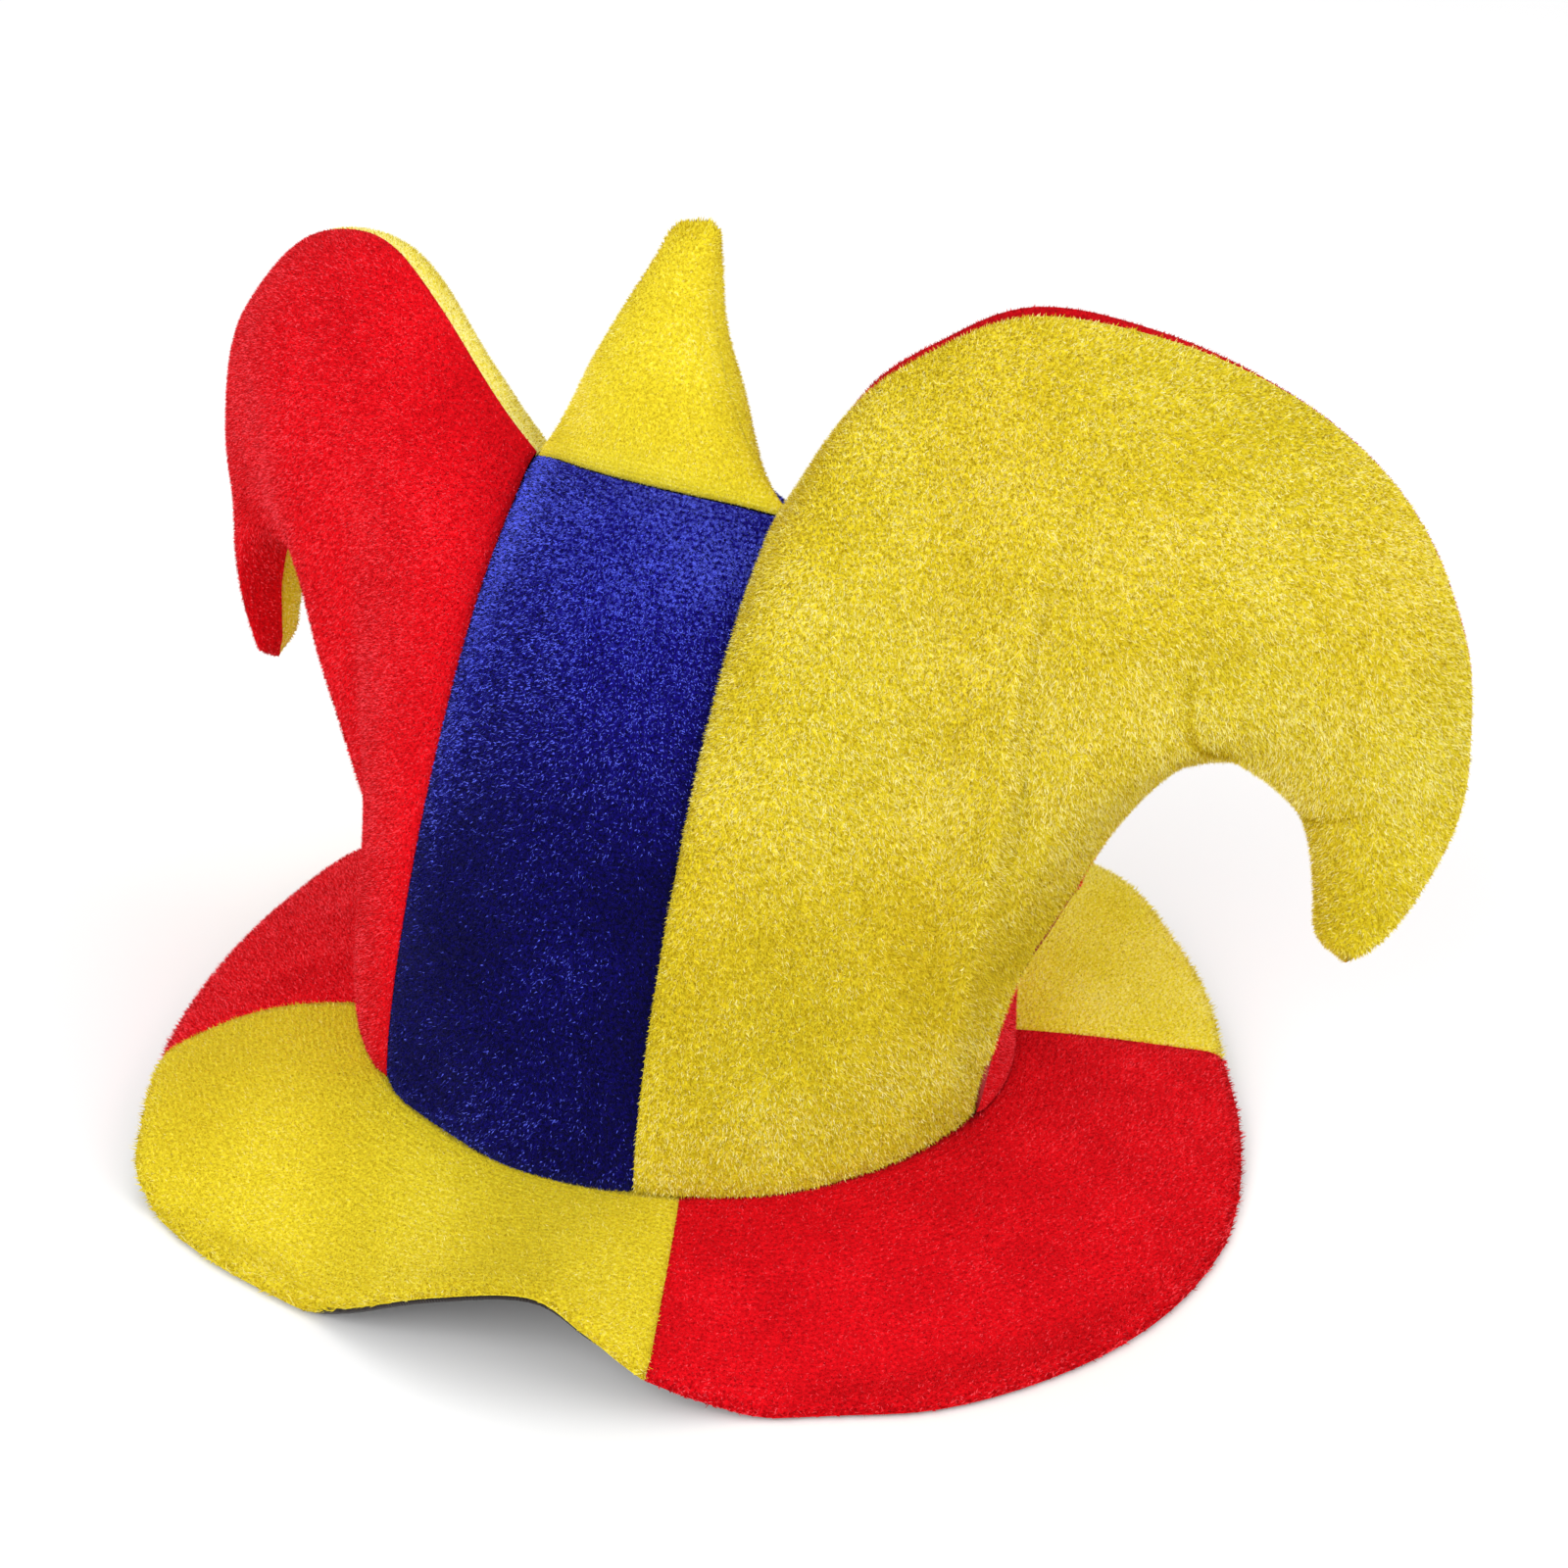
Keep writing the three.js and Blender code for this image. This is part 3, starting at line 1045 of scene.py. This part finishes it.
def lining_finish(name, colour):
    """The dark lining, a plain weave."""
    finish = Finish(name)
    across, along = finish.lengths(CLOTH_MAP)
    place = finish.place()
    warp = (across * (2 * math.pi / (LINING_THREAD * MM))).sine()
    weft = (along * (2 * math.pi / (LINING_THREAD * MM))).sine()
    weave = warp * weft * 0.5 + 0.5
    dust = finish.noise(place, DUST_SCALE, 4.0)
    shade = finish.mix(weave, tuple(0.6 * part for part in colour), tuple(1.5 * part for part in colour))
    shade = finish.mix(dust * 0.25, shade, tuple(3.0 * part for part in colour))
    normal = finish.add("ShaderNodeBump", {}, {"Strength": 0.7, "Distance": 0.3 * MM, "Height": weave})
    return finish.finish_with(
        Base_Color=shade,
        Roughness=0.9 - 0.1 * weave,
        Specular_IOR_Level=0.2,
        Sheen_Weight=0.15,
        Normal=normal,
    )


def link(name, data):
    """A new object with its mesh, lamp or camera, linked to the scene."""
    holder = bpy.data.objects.new(name, data)
    bpy.context.scene.collection.objects.link(holder)
    return holder


def lay_cloth(name, panel, thickness, materials, nap=0.0, closed=False):
    """Lays a grid of cloth on a panel's spots and gives it its thickness on the inner side."""
    nap = np.broadcast_to(nap, panel.spots.shape[:2])
    cols = panel.spots.shape[0] - 1
    rows = panel.spots.shape[1] - 1
    sheet = bmesh.new()
    bmesh.ops.create_grid(sheet, x_segments=cols, y_segments=rows, size=1.0)
    lengths = sheet.loops.layers.uv.new(CLOTH_MAP)
    shade = sheet.verts.layers.float.new(TONE_AND_PAINTED_LIGHT_ATTRIBUTE)
    body = sheet.verts.layers.deform.new()
    full = np.minimum(clamp(panel.edge() / EDGE_WIDTH), clamp(panel.tip / TIP_REACH))
    full = np.minimum(full, clamp(2 * (panel.normals() @ panel.facing)))
    places = in_frame(panel.spots)
    grid = {}
    for vert in sheet.verts:
        grid[vert.index] = (round((vert.co.x + 1) / 2 * cols), round((vert.co.y + 1) / 2 * rows))
    for face in sheet.faces:
        face.smooth = True
        for loop in face.loops:
            col, row = grid[loop.vert.index]
            loop[lengths].uv = (panel.across[col, row] * MM, panel.up[col, row] * MM)
    for vert in sheet.verts:
        # Each spot keeps its random tone and painted light and shade for the backing's colour
        vert[shade] = nap[grid[vert.index]]
        vert[body][0] = 1.0 if closed else full[grid[vert.index]]
        vert.co = places[grid[vert.index]]
    if panel.turn() < 0:
        bmesh.ops.reverse_faces(sheet, faces=sheet.faces)
    if closed:
        bmesh.ops.remove_doubles(sheet, verts=sheet.verts, dist=0.01 * MM)
    mesh = bpy.data.meshes.new(name)
    sheet.to_mesh(mesh)
    sheet.free()
    piece = link(name, mesh)
    for material in materials:
        mesh.materials.append(material)
    wall = piece.modifiers.new("Thickness", "SOLIDIFY")
    wall.thickness = thickness
    wall.offset = -1.0
    wall.vertex_group = piece.vertex_groups.new(name="body").name
    wall.thickness_vertex_group = EDGE_SHARE
    wall.material_offset = len(materials) - 1
    return piece


def scatter(panel, per_mm2, rng):
    """Spreads roots evenly over a panel: their grid columns and rows, and their shares of those cells."""
    areas = panel.cell_areas()
    found = []
    for col, strip in enumerate(areas):
        total = np.concatenate([[0.0], np.cumsum(strip)])
        lanes = max(1, round(total[-1] / panel.up[col, -1] * math.sqrt(per_mm2)))
        count = max(1, round(total[-1] * per_mm2 / lanes))
        lane, step = np.divmod(np.arange(lanes * count), count)
        at = (step + rng.random(lanes * count)) / count * total[-1]
        row = np.clip(np.searchsorted(total, at, side="right") - 1, 0, len(strip) - 1)
        share_up = (at - total[row]) / np.maximum(strip[row], 1e-9)
        share_across = (lane + rng.random(lanes * count)) / lanes
        found.append((np.full(lanes * count, col), row, share_across, share_up))
    return (np.concatenate(values) for values in zip(*found))


def grow_pile(name, panel, pile, flow, material, seed, nap, coarse, speck, dense, trim, rows, creases):
    """Covers a panel with tufts: one small blade each, leaning the way that flow brushes it.

    nap lifts or lowers the shade over the panel's grid, as random tone and painted light and shade; coarse
    scales the tufts' size there and speck their contrast, dense scales their number, and trim is the share
    by which they are shorter at a seam.
    rows is how strongly the knitted rows show, the distance by which they are counted and how far they
    reach. Tufts along a crease get painted shade, darker near its line.
    """
    rng = np.random.default_rng(seed)
    shape = panel.spots.shape[:2]
    col, row, share_across, share_up = scatter(panel, pile.per_mm2 * dense, rng)
    count = len(col)

    def at_roots(field):
        field = np.broadcast_to(field, shape) if np.ndim(field) < 3 else field
        field = field.reshape(*shape, -1)
        low = blend(field[col, row], field[col + 1, row], share_across[:, None])
        high = blend(field[col, row + 1], field[col + 1, row + 1], share_across[:, None])
        return blend(low, high, share_up[:, None])

    roots = at_roots(panel.spots)
    out = unit(at_roots(panel.normals()))
    near_seam = np.exp(-at_roots(panel.edge())[:, 0] / 3.0)

    swirls = spot(*(patches(roots, BRUSHED_PATCH, seed + step) for step in (11, 12, 13)))
    brushed = flow(roots) + SWIRL * swirls
    brushed = brushed - (brushed * out).sum(1, keepdims=True) * out
    brushed = unit(brushed + 0.02 * rng.normal(size=(count, 3)))
    sideways = np.cross(out, brushed)
    stray = rng.normal(0.0, pile.spread, count)[:, None]
    heading = brushed * np.cos(stray) + sideways * np.sin(stray)
    rise = np.clip(rng.normal(pile.rise, RISE_SPREAD, count), RISE_LEAST, RISE_MOST)[:, None]
    tuft = heading * np.cos(rise) + out * np.sin(rise)
    flat = unit(np.cross(tuft, out))
    roll = rng.normal(0.0, ROLL_SPREAD, count)[:, None]
    flat = flat * np.cos(roll) + np.cross(tuft, flat) * np.sin(roll)
    slim = rng.random(count)
    size = at_roots(coarse)[:, 0]
    length = pile.length / MM * size * (0.75 + 0.5 * slim) * (1 - trim * near_seam)
    width = pile.width / MM * size * (1.35 - slim)

    roots = roots - ROOT_SINK * out
    tips = roots + tuft * length[:, None]
    floor = FLOOR_CLEAR - SEAM_HEIGHT
    tips[:, 2] = np.maximum(tips[:, 2], floor)
    half = flat * width[:, None] / 2
    corners = np.stack([roots - half, roots + half, tips], axis=1)
    corners[..., 2] = np.maximum(corners[..., 2], floor)
    facing = np.cross(corners[:, 1] - corners[:, 0], corners[:, 2] - corners[:, 0])
    inwards = (facing * out).sum(1) < 0
    corners[inwards] = corners[inwards][:, [1, 0, 2]]

    mesh = bpy.data.meshes.new(name)
    triangles = np.arange(3 * count, dtype=np.int32).reshape(count, 3)
    mesh.from_pydata(in_frame(corners.reshape(-1, 3)), [], triangles)
    # lift: the random tone and painted light and shade at each root
    lift = at_roots(nap)[:, 0]
    fresh = rng.normal(size=count + 1)
    grain = 0.6 * (fresh[1:] - 0.7 * fresh[:-1]) + 0.6 * clumps(roots, pile.clump / MM, seed)
    # Painted glints: the grain skewed towards bright specks
    grain = grain + pile.glint * (grain * grain - 1)
    # Tufts differ more where painted light lifts the shade
    stand = 0.5 + lift + pile.contrast * grain * at_roots(speck)[:, 0] * np.maximum(0.2, 1 + 2 * lift)
    show, seam, reach = rows
    away = at_roots(seam)[:, 0]
    stand = stand + show * np.sin(away * 2 * math.pi / KNIT_ROW) * np.exp(-((away / reach) ** 4))
    # Painted shade: tufts darker along each crease
    for start, stop, _, depth in creases:
        away, strength = along_crease(roots, start, stop)
        stand = stand - CREASE_PAINTED_SHADE * depth * strength * np.exp(-((away / CREASE_SHADE_WIDTH) ** 2))
    warmth = 0.5 + 0.12 * patches(roots, WARM_PATCH, seed + 31) + rng.normal(0.0, 0.2, count)
    middle = np.stack([stand, warmth], axis=1)
    # Roots get painted shade and tips painted light
    shade = (middle[:, None] + np.array(TUFT_PAINTED_SHADE_STEPS)).clip(0.01, 0.99)
    palette = mesh.uv_layers.new(name=PALETTE_MAP)
    palette.uv.foreach_set("vector", shade.astype(np.float32).ravel())
    mesh.materials.append(material)
    return link(name, mesh)


def sew(context, node, panel, colour, flow, seed, nap=0.0, **brush):
    """Makes one plush panel in place of its frame node: its cloth, then its pile."""
    # Random tone patches join the painted light and shade that each panel is given
    nap = nap + NAP_CHANGE * patches(panel.spots, NAP_PATCH, seed + 21)
    hat = context.scene.party_hat
    pile = getattr(hat, colour)
    knit = hat.cloth.knit_row
    outside = material_named(f"{colour}_backing", lambda name: plush_backing(name, pile, knit))
    inside = material_named(f"{colour}_inner", lambda name: inner_backing(name, pile, knit))
    tufts = material_named(f"{colour}_pile", lambda name: pile_finish(name, pile))
    cloth = lay_cloth(f"{node}_cloth", panel, hat.cloth.thickness, [outside, inside], nap)
    fur = grow_pile(f"{node}_pile", panel, pile, flow, tufts, seed, nap, **{**PLAIN_BRUSH, **brush})
    for piece in (cloth, fur):
        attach(piece, "root")
    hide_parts(node)
    flat, area = panel.flat_size()


def settle(panel, cloth, seams, way, seed):
    """Draws the cloth in along its seams, gives it its soft unevenness and sinks it below the pile.

    Each seam is the distance from it and the share of the full dip that it takes.
    """
    dip = cloth.seam_dip / MM
    width = cloth.seam_width / MM
    drawn = np.zeros(panel.spots.shape[:2])
    for distance, share in seams:
        drawn = np.maximum(drawn, share * np.exp(-((distance / width) ** 2)))
    soft = 1 - np.maximum.reduce([np.exp(-distance / SEAM_CALM) for distance, _ in seams])
    uneven = cloth.ripple / MM * patches(panel.spots, RIPPLE_SIZE, seed) * soft
    away = [np.linalg.norm(panel.spots - np.array(corner, float), axis=-1) for corner in TOP_CORNERS]
    free = 1 - CORNER_HOLD * np.exp(-((np.minimum(*away) / CORNER_REACH) ** 2))
    panel.push((uneven - dip * drawn - cloth.pile_depth / MM) * free, way)


def tuck_hem(panel):
    """Lets the lowest rows reach down into the brim's seam."""
    low = np.exp(-panel.from_hem / TUCK_REACH) * (panel.spots[:, :1, 2] < TUCK_BELOW)
    panel.push(-HEM_TUCK * low, np.array([0.0, 0.0, 1.0]))


def down(spots):
    return np.broadcast_to(np.array([0.0, 0.0, -1.0]), spots.shape)


def off_tip(spots):
    """Brushed down the spike, and up off its tip."""
    high = ease((spots[:, 2] - 216) / 14)[:, None]
    return np.array([0.0, 0.0, -1.0]) + np.array([0.0, 0.0, 2.0]) * high


def outwards(spots):
    """Brushed from the crown to the brim's edge."""
    way = spots * np.array([1.0, 1.0, 0.0])
    return unit(way) + np.array([0.0, 0.0, -0.2])


def towards_tip(sign):
    """Brushed down and out to the tip of a horn."""

    def flow(spots):
        high = ease((spots[:, 2] - 60) / 120)[:, None]
        return np.array([0.0, 0.0, -0.8]) + np.array([0.8 * sign, 0.1, 0.2]) * high

    return flow


class SewCrown(bpy.types.Operator):
    """Make the blue middle panels of the crown"""

    bl_idname = "party_hat.sew_crown"
    bl_label = "Sew Crown"

    def execute(self, context):
        cloth = context.scene.party_hat.cloth
        for number, (face, word) in enumerate(FACES):
            seed = CROWN_SEED + SEED_STEP * number
            panel = Panel(crown_surface(face), *CROWN_GRID, (0, face, 0))
            tuck_hem(panel)
            seams = [(panel.from_start, 1.0), (panel.from_end, 1.0), (panel.from_top, 0.5)]
            way = panel.normals()
            way[..., 0] *= 1 - np.exp(-np.minimum(panel.from_start, panel.from_end) / SEAM_FADE)
            top = np.exp(-panel.from_top / TOP_TURN)[..., None]
            way = unit(blend(way, np.array([0.0, face, 0.0]), top))
            settle(panel, cloth, seams, way, seed)
            # Painted light on the blue: lighter high up and a painted sheen along its first seam; lighter
            # at its foot
            height = panel.spots[..., 2]
            high = ease((height - 65) / 95)
            edge = np.exp(-(((panel.from_start - 7) / 10) ** 2)) * ease((height - 40) / 50)
            foot = np.exp(-panel.from_hem / 8.0)
            nap = CROWN_PAINTED_LIGHT_HIGH * high + CROWN_PAINTED_SHEEN_EDGE * edge + CROWN_LIGHTER_FOOT * foot + CROWN_TONE
            sew(context, f"crown_{word}", panel, "blue", down, seed, nap=nap, coarse=1.0, speck=1.0)
        return {"FINISHED"}


class SewHorns(bpy.types.Operator):
    """Make the red and yellow panels of the two curled horns"""

    bl_idname = "party_hat.sew_horns"
    bl_label = "Sew Horns"

    def execute(self, context):
        sides = (
            ("right", HORN_RIGHT, RIGHT_SECTIONS, ("yellow", "red"), RIGHT_PUCKERS),
            ("left", HORN_LEFT, LEFT_SECTIONS, ("red", "yellow"), LEFT_PUCKERS),
        )
        cloth = context.scene.party_hat.cloth
        for number, (side, horn, sections, colours, puckers) in enumerate(sides):
            for step, (face, word) in enumerate(FACES):
                seed = HORN_SEED + SEED_STEP * (2 * number + step)
                cols, rows = HORN_FRONT_GRID if face < 0 else HORN_BACK_GRID
                panel = Panel(horn_surface(horn, sections, face), cols, rows, (0, face, 0))
                tuck_hem(panel)
                loose_hem = ease(panel.spots[:, :1, 2] / LOOSE_FROM)
                hem = panel.from_hem + SEWN_AWAY * (1 - loose_hem)
                ridge = panel.from_top
                near = np.exp(-np.minimum(hem, ridge) / SEAM_REACH)[..., None]
                crosswise = unit((panel.spots[:, -1:] - panel.spots[:, :1]) * np.array([1.0, 0.0, 1.0]))
                seamward = crosswise * np.where(ridge < hem, 1.0, -1.0)[..., None]
                way = unit(blend(panel.normals(), seamward, near), 0.5)
                way[..., 0] *= 1 - np.exp(-panel.from_start / SEAM_FADE)
                panel.tip = panel.from_end
                way = way * (1 - np.exp(-((panel.tip / HORN_TIP_CALM) ** 2)))[..., None]
                settle(panel, cloth, [(panel.from_start, 1.0), (hem, 0.3), (ridge, 0.2)], way, seed)
                crest = crested(horn, np.linspace(0.0, len(sections) - 1.0, cols + 1)[:, None])
                panel.push(blend(RIDGE_OUT, CREST_OUT, crest) * np.exp(-ridge / SEAM_REACH), way)
                panel.push(HEM_OUT * np.exp(-hem / HEM_REACH), way)
                bluntness = 1 - 2 * np.linspace(-1.0, 1.0, rows + 1) ** 4
                panel.push(bluntness * np.exp(-panel.from_end / TIP_ROUND), np.array([0.0, 0.0, -1.2]))
                height = panel.spots[..., 2]
                # Painted shade: each horn darker low down
                nap = -0.04 * ease((95 - height) / 60)
                brush = {"rows": (0.12, ridge, 10.0)}
                if face < 0:
                    panel.pucker(puckers)
                    brush |= {"creases": puckers, **horn["front_brush"]}
                else:
                    tucked = 0.3 * (1 - crest) * np.exp(-ridge / 5.0) + 0.8 * np.exp(-hem / HEM_REACH)
                    panel.push(-tucked, way)
                    # Painted light and shade of the back along the ridge
                    nap = nap + horn["back_painted_light"] * np.exp(-ridge / 12.0)
                    brush["trim"] = 0.7
                if word == "front" and side == "right":
                    # Painted shade: a darker band low on the right horn's front
                    nap = nap - 0.13 * np.exp(-(((height - 55) / 28) ** 2))
                if word == "front" and side == "left":
                    # Painted shade: the left horn's front darker, most of all towards the ridge
                    nap = nap - 0.04 - 0.12 * np.exp(-ridge / 22.0)
                flow = towards_tip(horn["sign"])
                sew(context, f"horn_{side}_{word}", panel, colours[step], flow, seed, nap=nap, **brush)
        return {"FINISHED"}


class SewSpike(bpy.types.Operator):
    """Make the yellow panels of the middle spike"""

    bl_idname = "party_hat.sew_spike"
    bl_label = "Sew Spike"

    def execute(self, context):
        cloth = context.scene.party_hat.cloth
        for number, (face, word) in enumerate(FACES):
            seed = SPIKE_SEED + SEED_STEP * number
            panel = Panel(spike_surface(face), *SPIKE_GRID, (0, face, 0))
            sides = np.minimum(panel.from_start, panel.from_end)
            way = panel.normals()
            way[..., 1] *= 1 - np.exp(-np.minimum(sides, panel.from_top) / SEAM_FADE)
            foot = np.exp(-panel.from_hem / TOP_TURN)[..., None]
            way = blend(unit(way, 0.5), np.array([0.0, face, 0.0]), foot)
            panel.tip = panel.from_top
            way = way * (1 - np.exp(-((panel.tip / SPIKE_TIP_CALM) ** 2)))[..., None]
            settle(panel, cloth, [(sides, 0.2), (panel.from_hem, 1.0)], way, seed)
            flare = np.exp(-panel.from_hem / 9.0) * np.exp(-panel.from_end / (25.0 if face > 0 else 6.0))
            panel.push(flare, np.array([2.4, 2.6, -0.6]))
            side = np.linspace(-1.0, 1.0, panel.spots.shape[0])[:, None]
            panel.push((1 - 3 * side**4) * np.exp(-panel.from_top / TIP_ROUND), np.array([0.0, 0.0, 0.8]))
            low = np.exp(-((panel.from_hem / 9.0) ** 4))
            brush = {
                "coarse": 0.75 - 0.3 * low + 0.35 * np.exp(-panel.from_top / 5.0),
                "speck": 0.55,
                "rows": (0.4, panel.from_hem, 9.0),
                "trim": 0.2,
            }
            sew(context, f"spike_{word}", panel, "yellow", off_tip, seed, nap=-0.04, **brush)
        return {"FINISHED"}


def lifted(rows):
    """1 where the front of the brim arches off the floor and shows its lining's edge."""
    return ease((rows - 4.5) / 2) * ease((10.5 - rows) / 2)


def lining_surface(round_share, out_share):
    """The brim's lowest face, drawn in under the plush edge except along the arch."""
    rows = round_share * len(BRIM_WAVES)
    reach = blend(0.85, 0.972, lifted(rows))
    return brim_surface(0.0, 0, len(BRIM_WAVES))(round_share, out_share * reach)


class SewBrim(bpy.types.Operator):
    """Make the four plush quarters of the brim"""

    bl_idname = "party_hat.sew_brim"
    bl_label = "Sew Brim"

    def execute(self, context):
        cloth = context.scene.party_hat.cloth
        quarters = (("front", "yellow"), ("right", "red"), ("back", "yellow"), ("left", "red"))
        for number, (word, colour) in enumerate(quarters):
            seed = BRIM_SEED + SEED_STEP * number
            first, last = BRIM_SEAM_ROWS[number : number + 2]
            panel = Panel(brim_surface(BRIM_STACK, first, last), *BRIM_GRID, (0, 0, 1))
            sides = np.minimum(panel.from_start, panel.from_end)
            way = panel.normals()
            rows = np.linspace(first, last, panel.spots.shape[0])[:, None]
            roll = blend(1.5, 0.8, lifted(rows))
            panel.push(-0.5 * np.exp(-((sides / 3.0) ** 2)), way)
            panel.push(-roll * np.exp(-((panel.from_top / 2.5) ** 2)), way)
            panel.push(0.5 * np.exp(-((panel.from_top / 14.0) ** 2)) * clamp(panel.from_top / 6.0), way)
            panel.push(np.full(panel.spots.shape[:2], -cloth.pile_depth / MM), way)
            coarse = 0.75 + 0.6 * np.exp(-panel.from_top / 2.5)
            brush = {
                "coarse": coarse,
                "speck": BRIM_SPECK[colour],
                "rows": (0.07, panel.from_hem, 1000.0),
                "trim": 0.0,
            }
            # Each quarter gets its painted light and shade
            sew(context, f"brim_{word}", panel, colour, outwards, seed, nap=BRIM_PAINTED_LIGHT[word], **brush)
        return {"FINISHED"}


class SewUnderside(bpy.types.Operator):
    """Make the dark lining under the brim"""

    bl_idname = "party_hat.sew_underside"
    bl_label = "Sew Underside"

    def execute(self, context):
        hat = context.scene.party_hat
        panel = Panel(lining_surface, *LINING_GRID, (0, 0, -1))
        lining = material_named("dark_lining", lambda name: lining_finish(name, hat.cloth.lining_colour))
        piece = lay_cloth("brim_underside_cloth", panel, FRAME_LINING * MM, [lining], closed=True)
        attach(piece, "root")
        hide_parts("brim_underside")
        width = 2 * panel.spots[..., 0].max() * MM
        area = panel.cell_areas().sum() * MM * MM
        return {"FINISHED"}


def place_lamp(name, power, size, azimuth, elevation, distance, middle):
    """A square soft lamp that looks at the middle of the hat."""
    lamp = bpy.data.lights.new(name, "AREA")
    lamp.energy = power
    lamp.size = size
    holder = link(name, lamp)
    way = looking(azimuth, elevation)
    holder.matrix_world = Matrix.Translation(middle + way[2] * distance) @ turned(way)


def looking(azimuth, elevation):
    """Right, up and back of something that looks at the hat from these angles."""
    right = Vector((math.cos(azimuth), math.sin(azimuth), 0.0))
    back = Vector(
        (
            math.sin(azimuth) * math.cos(elevation),
            -math.cos(azimuth) * math.cos(elevation),
            math.sin(elevation),
        )
    )
    return right, back.cross(right), back


def turned(way):
    return Matrix(way).transposed().to_4x4()


class SetStage(bpy.types.Operator):
    """Make the pale floor, the soft lamps and the camera"""

    bl_idname = "party_hat.set_stage"
    bl_label = "Set Stage"

    def execute(self, context):
        stage = context.scene.party_hat.stage
        middle = Vector(in_frame(np.zeros(3)))
        self.lay_floor(stage)
        for word, (size, azimuth, elevation, distance) in LAMPS.items():
            angles = (math.radians(azimuth), math.radians(elevation))
            place_lamp(f"{word}_lamp", getattr(stage, word), size, *angles, distance, middle)
        self.light_sky(context.scene, stage)
        right, up, back = looking(stage.azimuth, stage.elevation)
        camera = bpy.data.cameras.new("camera")
        camera.lens = stage.lens
        camera.sensor_width = 36.0
        camera.clip_end = 50.0
        holder = link("camera", camera)
        target = middle + right * VIEW_RIGHT * MM + up * VIEW_UP * MM
        holder.matrix_world = Matrix.Translation(target + back * stage.distance) @ turned((right, up, back))
        context.scene.camera = holder
        context.scene.view_settings.view_transform = "Standard"
        return {"FINISHED"}

    def lay_floor(self, stage):
        sheet = bmesh.new()
        bmesh.ops.create_circle(sheet, cap_ends=True, radius=FLOOR_REACH, segments=96)
        mesh = bpy.data.meshes.new("floor")
        sheet.to_mesh(mesh)
        sheet.free()
        finish = Finish("pale_floor")
        place = finish.place()
        grain = finish.noise(place, 8.0, 3.0)
        pale = tuple(stage.floor_colour)
        colour = finish.mix(grain, tuple(0.99 * part for part in pale), pale)
        mesh.materials.append(finish.finish_with(Base_Color=colour, Roughness=0.8, Specular_IOR_Level=0.2))
        link("floor", mesh)

    def light_sky(self, scene, stage):
        world = bpy.data.worlds.new("sky")
        world.use_nodes = True
        backdrop = world.node_tree.nodes["Background"]
        backdrop.inputs["Color"].default_value = (1.0, 1.0, 1.0, 1.0)
        backdrop.inputs["Strength"].default_value = stage.sky
        scene.world = world


STEPS = (SewUnderside, SewBrim, SewCrown, SewHorns, SewSpike, SetStage)


class PartyHatPanel(bpy.types.Panel):
    """Lists the steps that make the hat"""

    bl_idname = "VIEW3D_PT_party_hat"
    bl_label = "Party Hat"
    bl_space_type = "VIEW_3D"
    bl_region_type = "UI"
    bl_category = "Party Hat"

    def draw(self, context):
        hat = context.scene.party_hat
        for step in STEPS:
            self.layout.operator(step.bl_idname)
        for group in (hat.cloth, hat.yellow, hat.red, hat.blue, hat.stage):
            box = self.layout.box()
            for name in group.__annotations__:
                box.prop(group, name)


CLASSES = (HatCloth, YellowPile, RedPile, BluePile, HatStage, HatSettings, *STEPS, PartyHatPanel)


def register():
    for item in CLASSES:
        bpy.utils.register_class(item)
    bpy.types.Scene.party_hat = PointerProperty(type=HatSettings)


def unregister():
    del bpy.types.Scene.party_hat
    for item in reversed(CLASSES):
        bpy.utils.unregister_class(item)


def main():
    register()
    for step in STEPS:
        group, name = step.bl_idname.split(".")
        getattr(getattr(bpy.ops, group), name)()


if __name__ == "__main__":
    main()
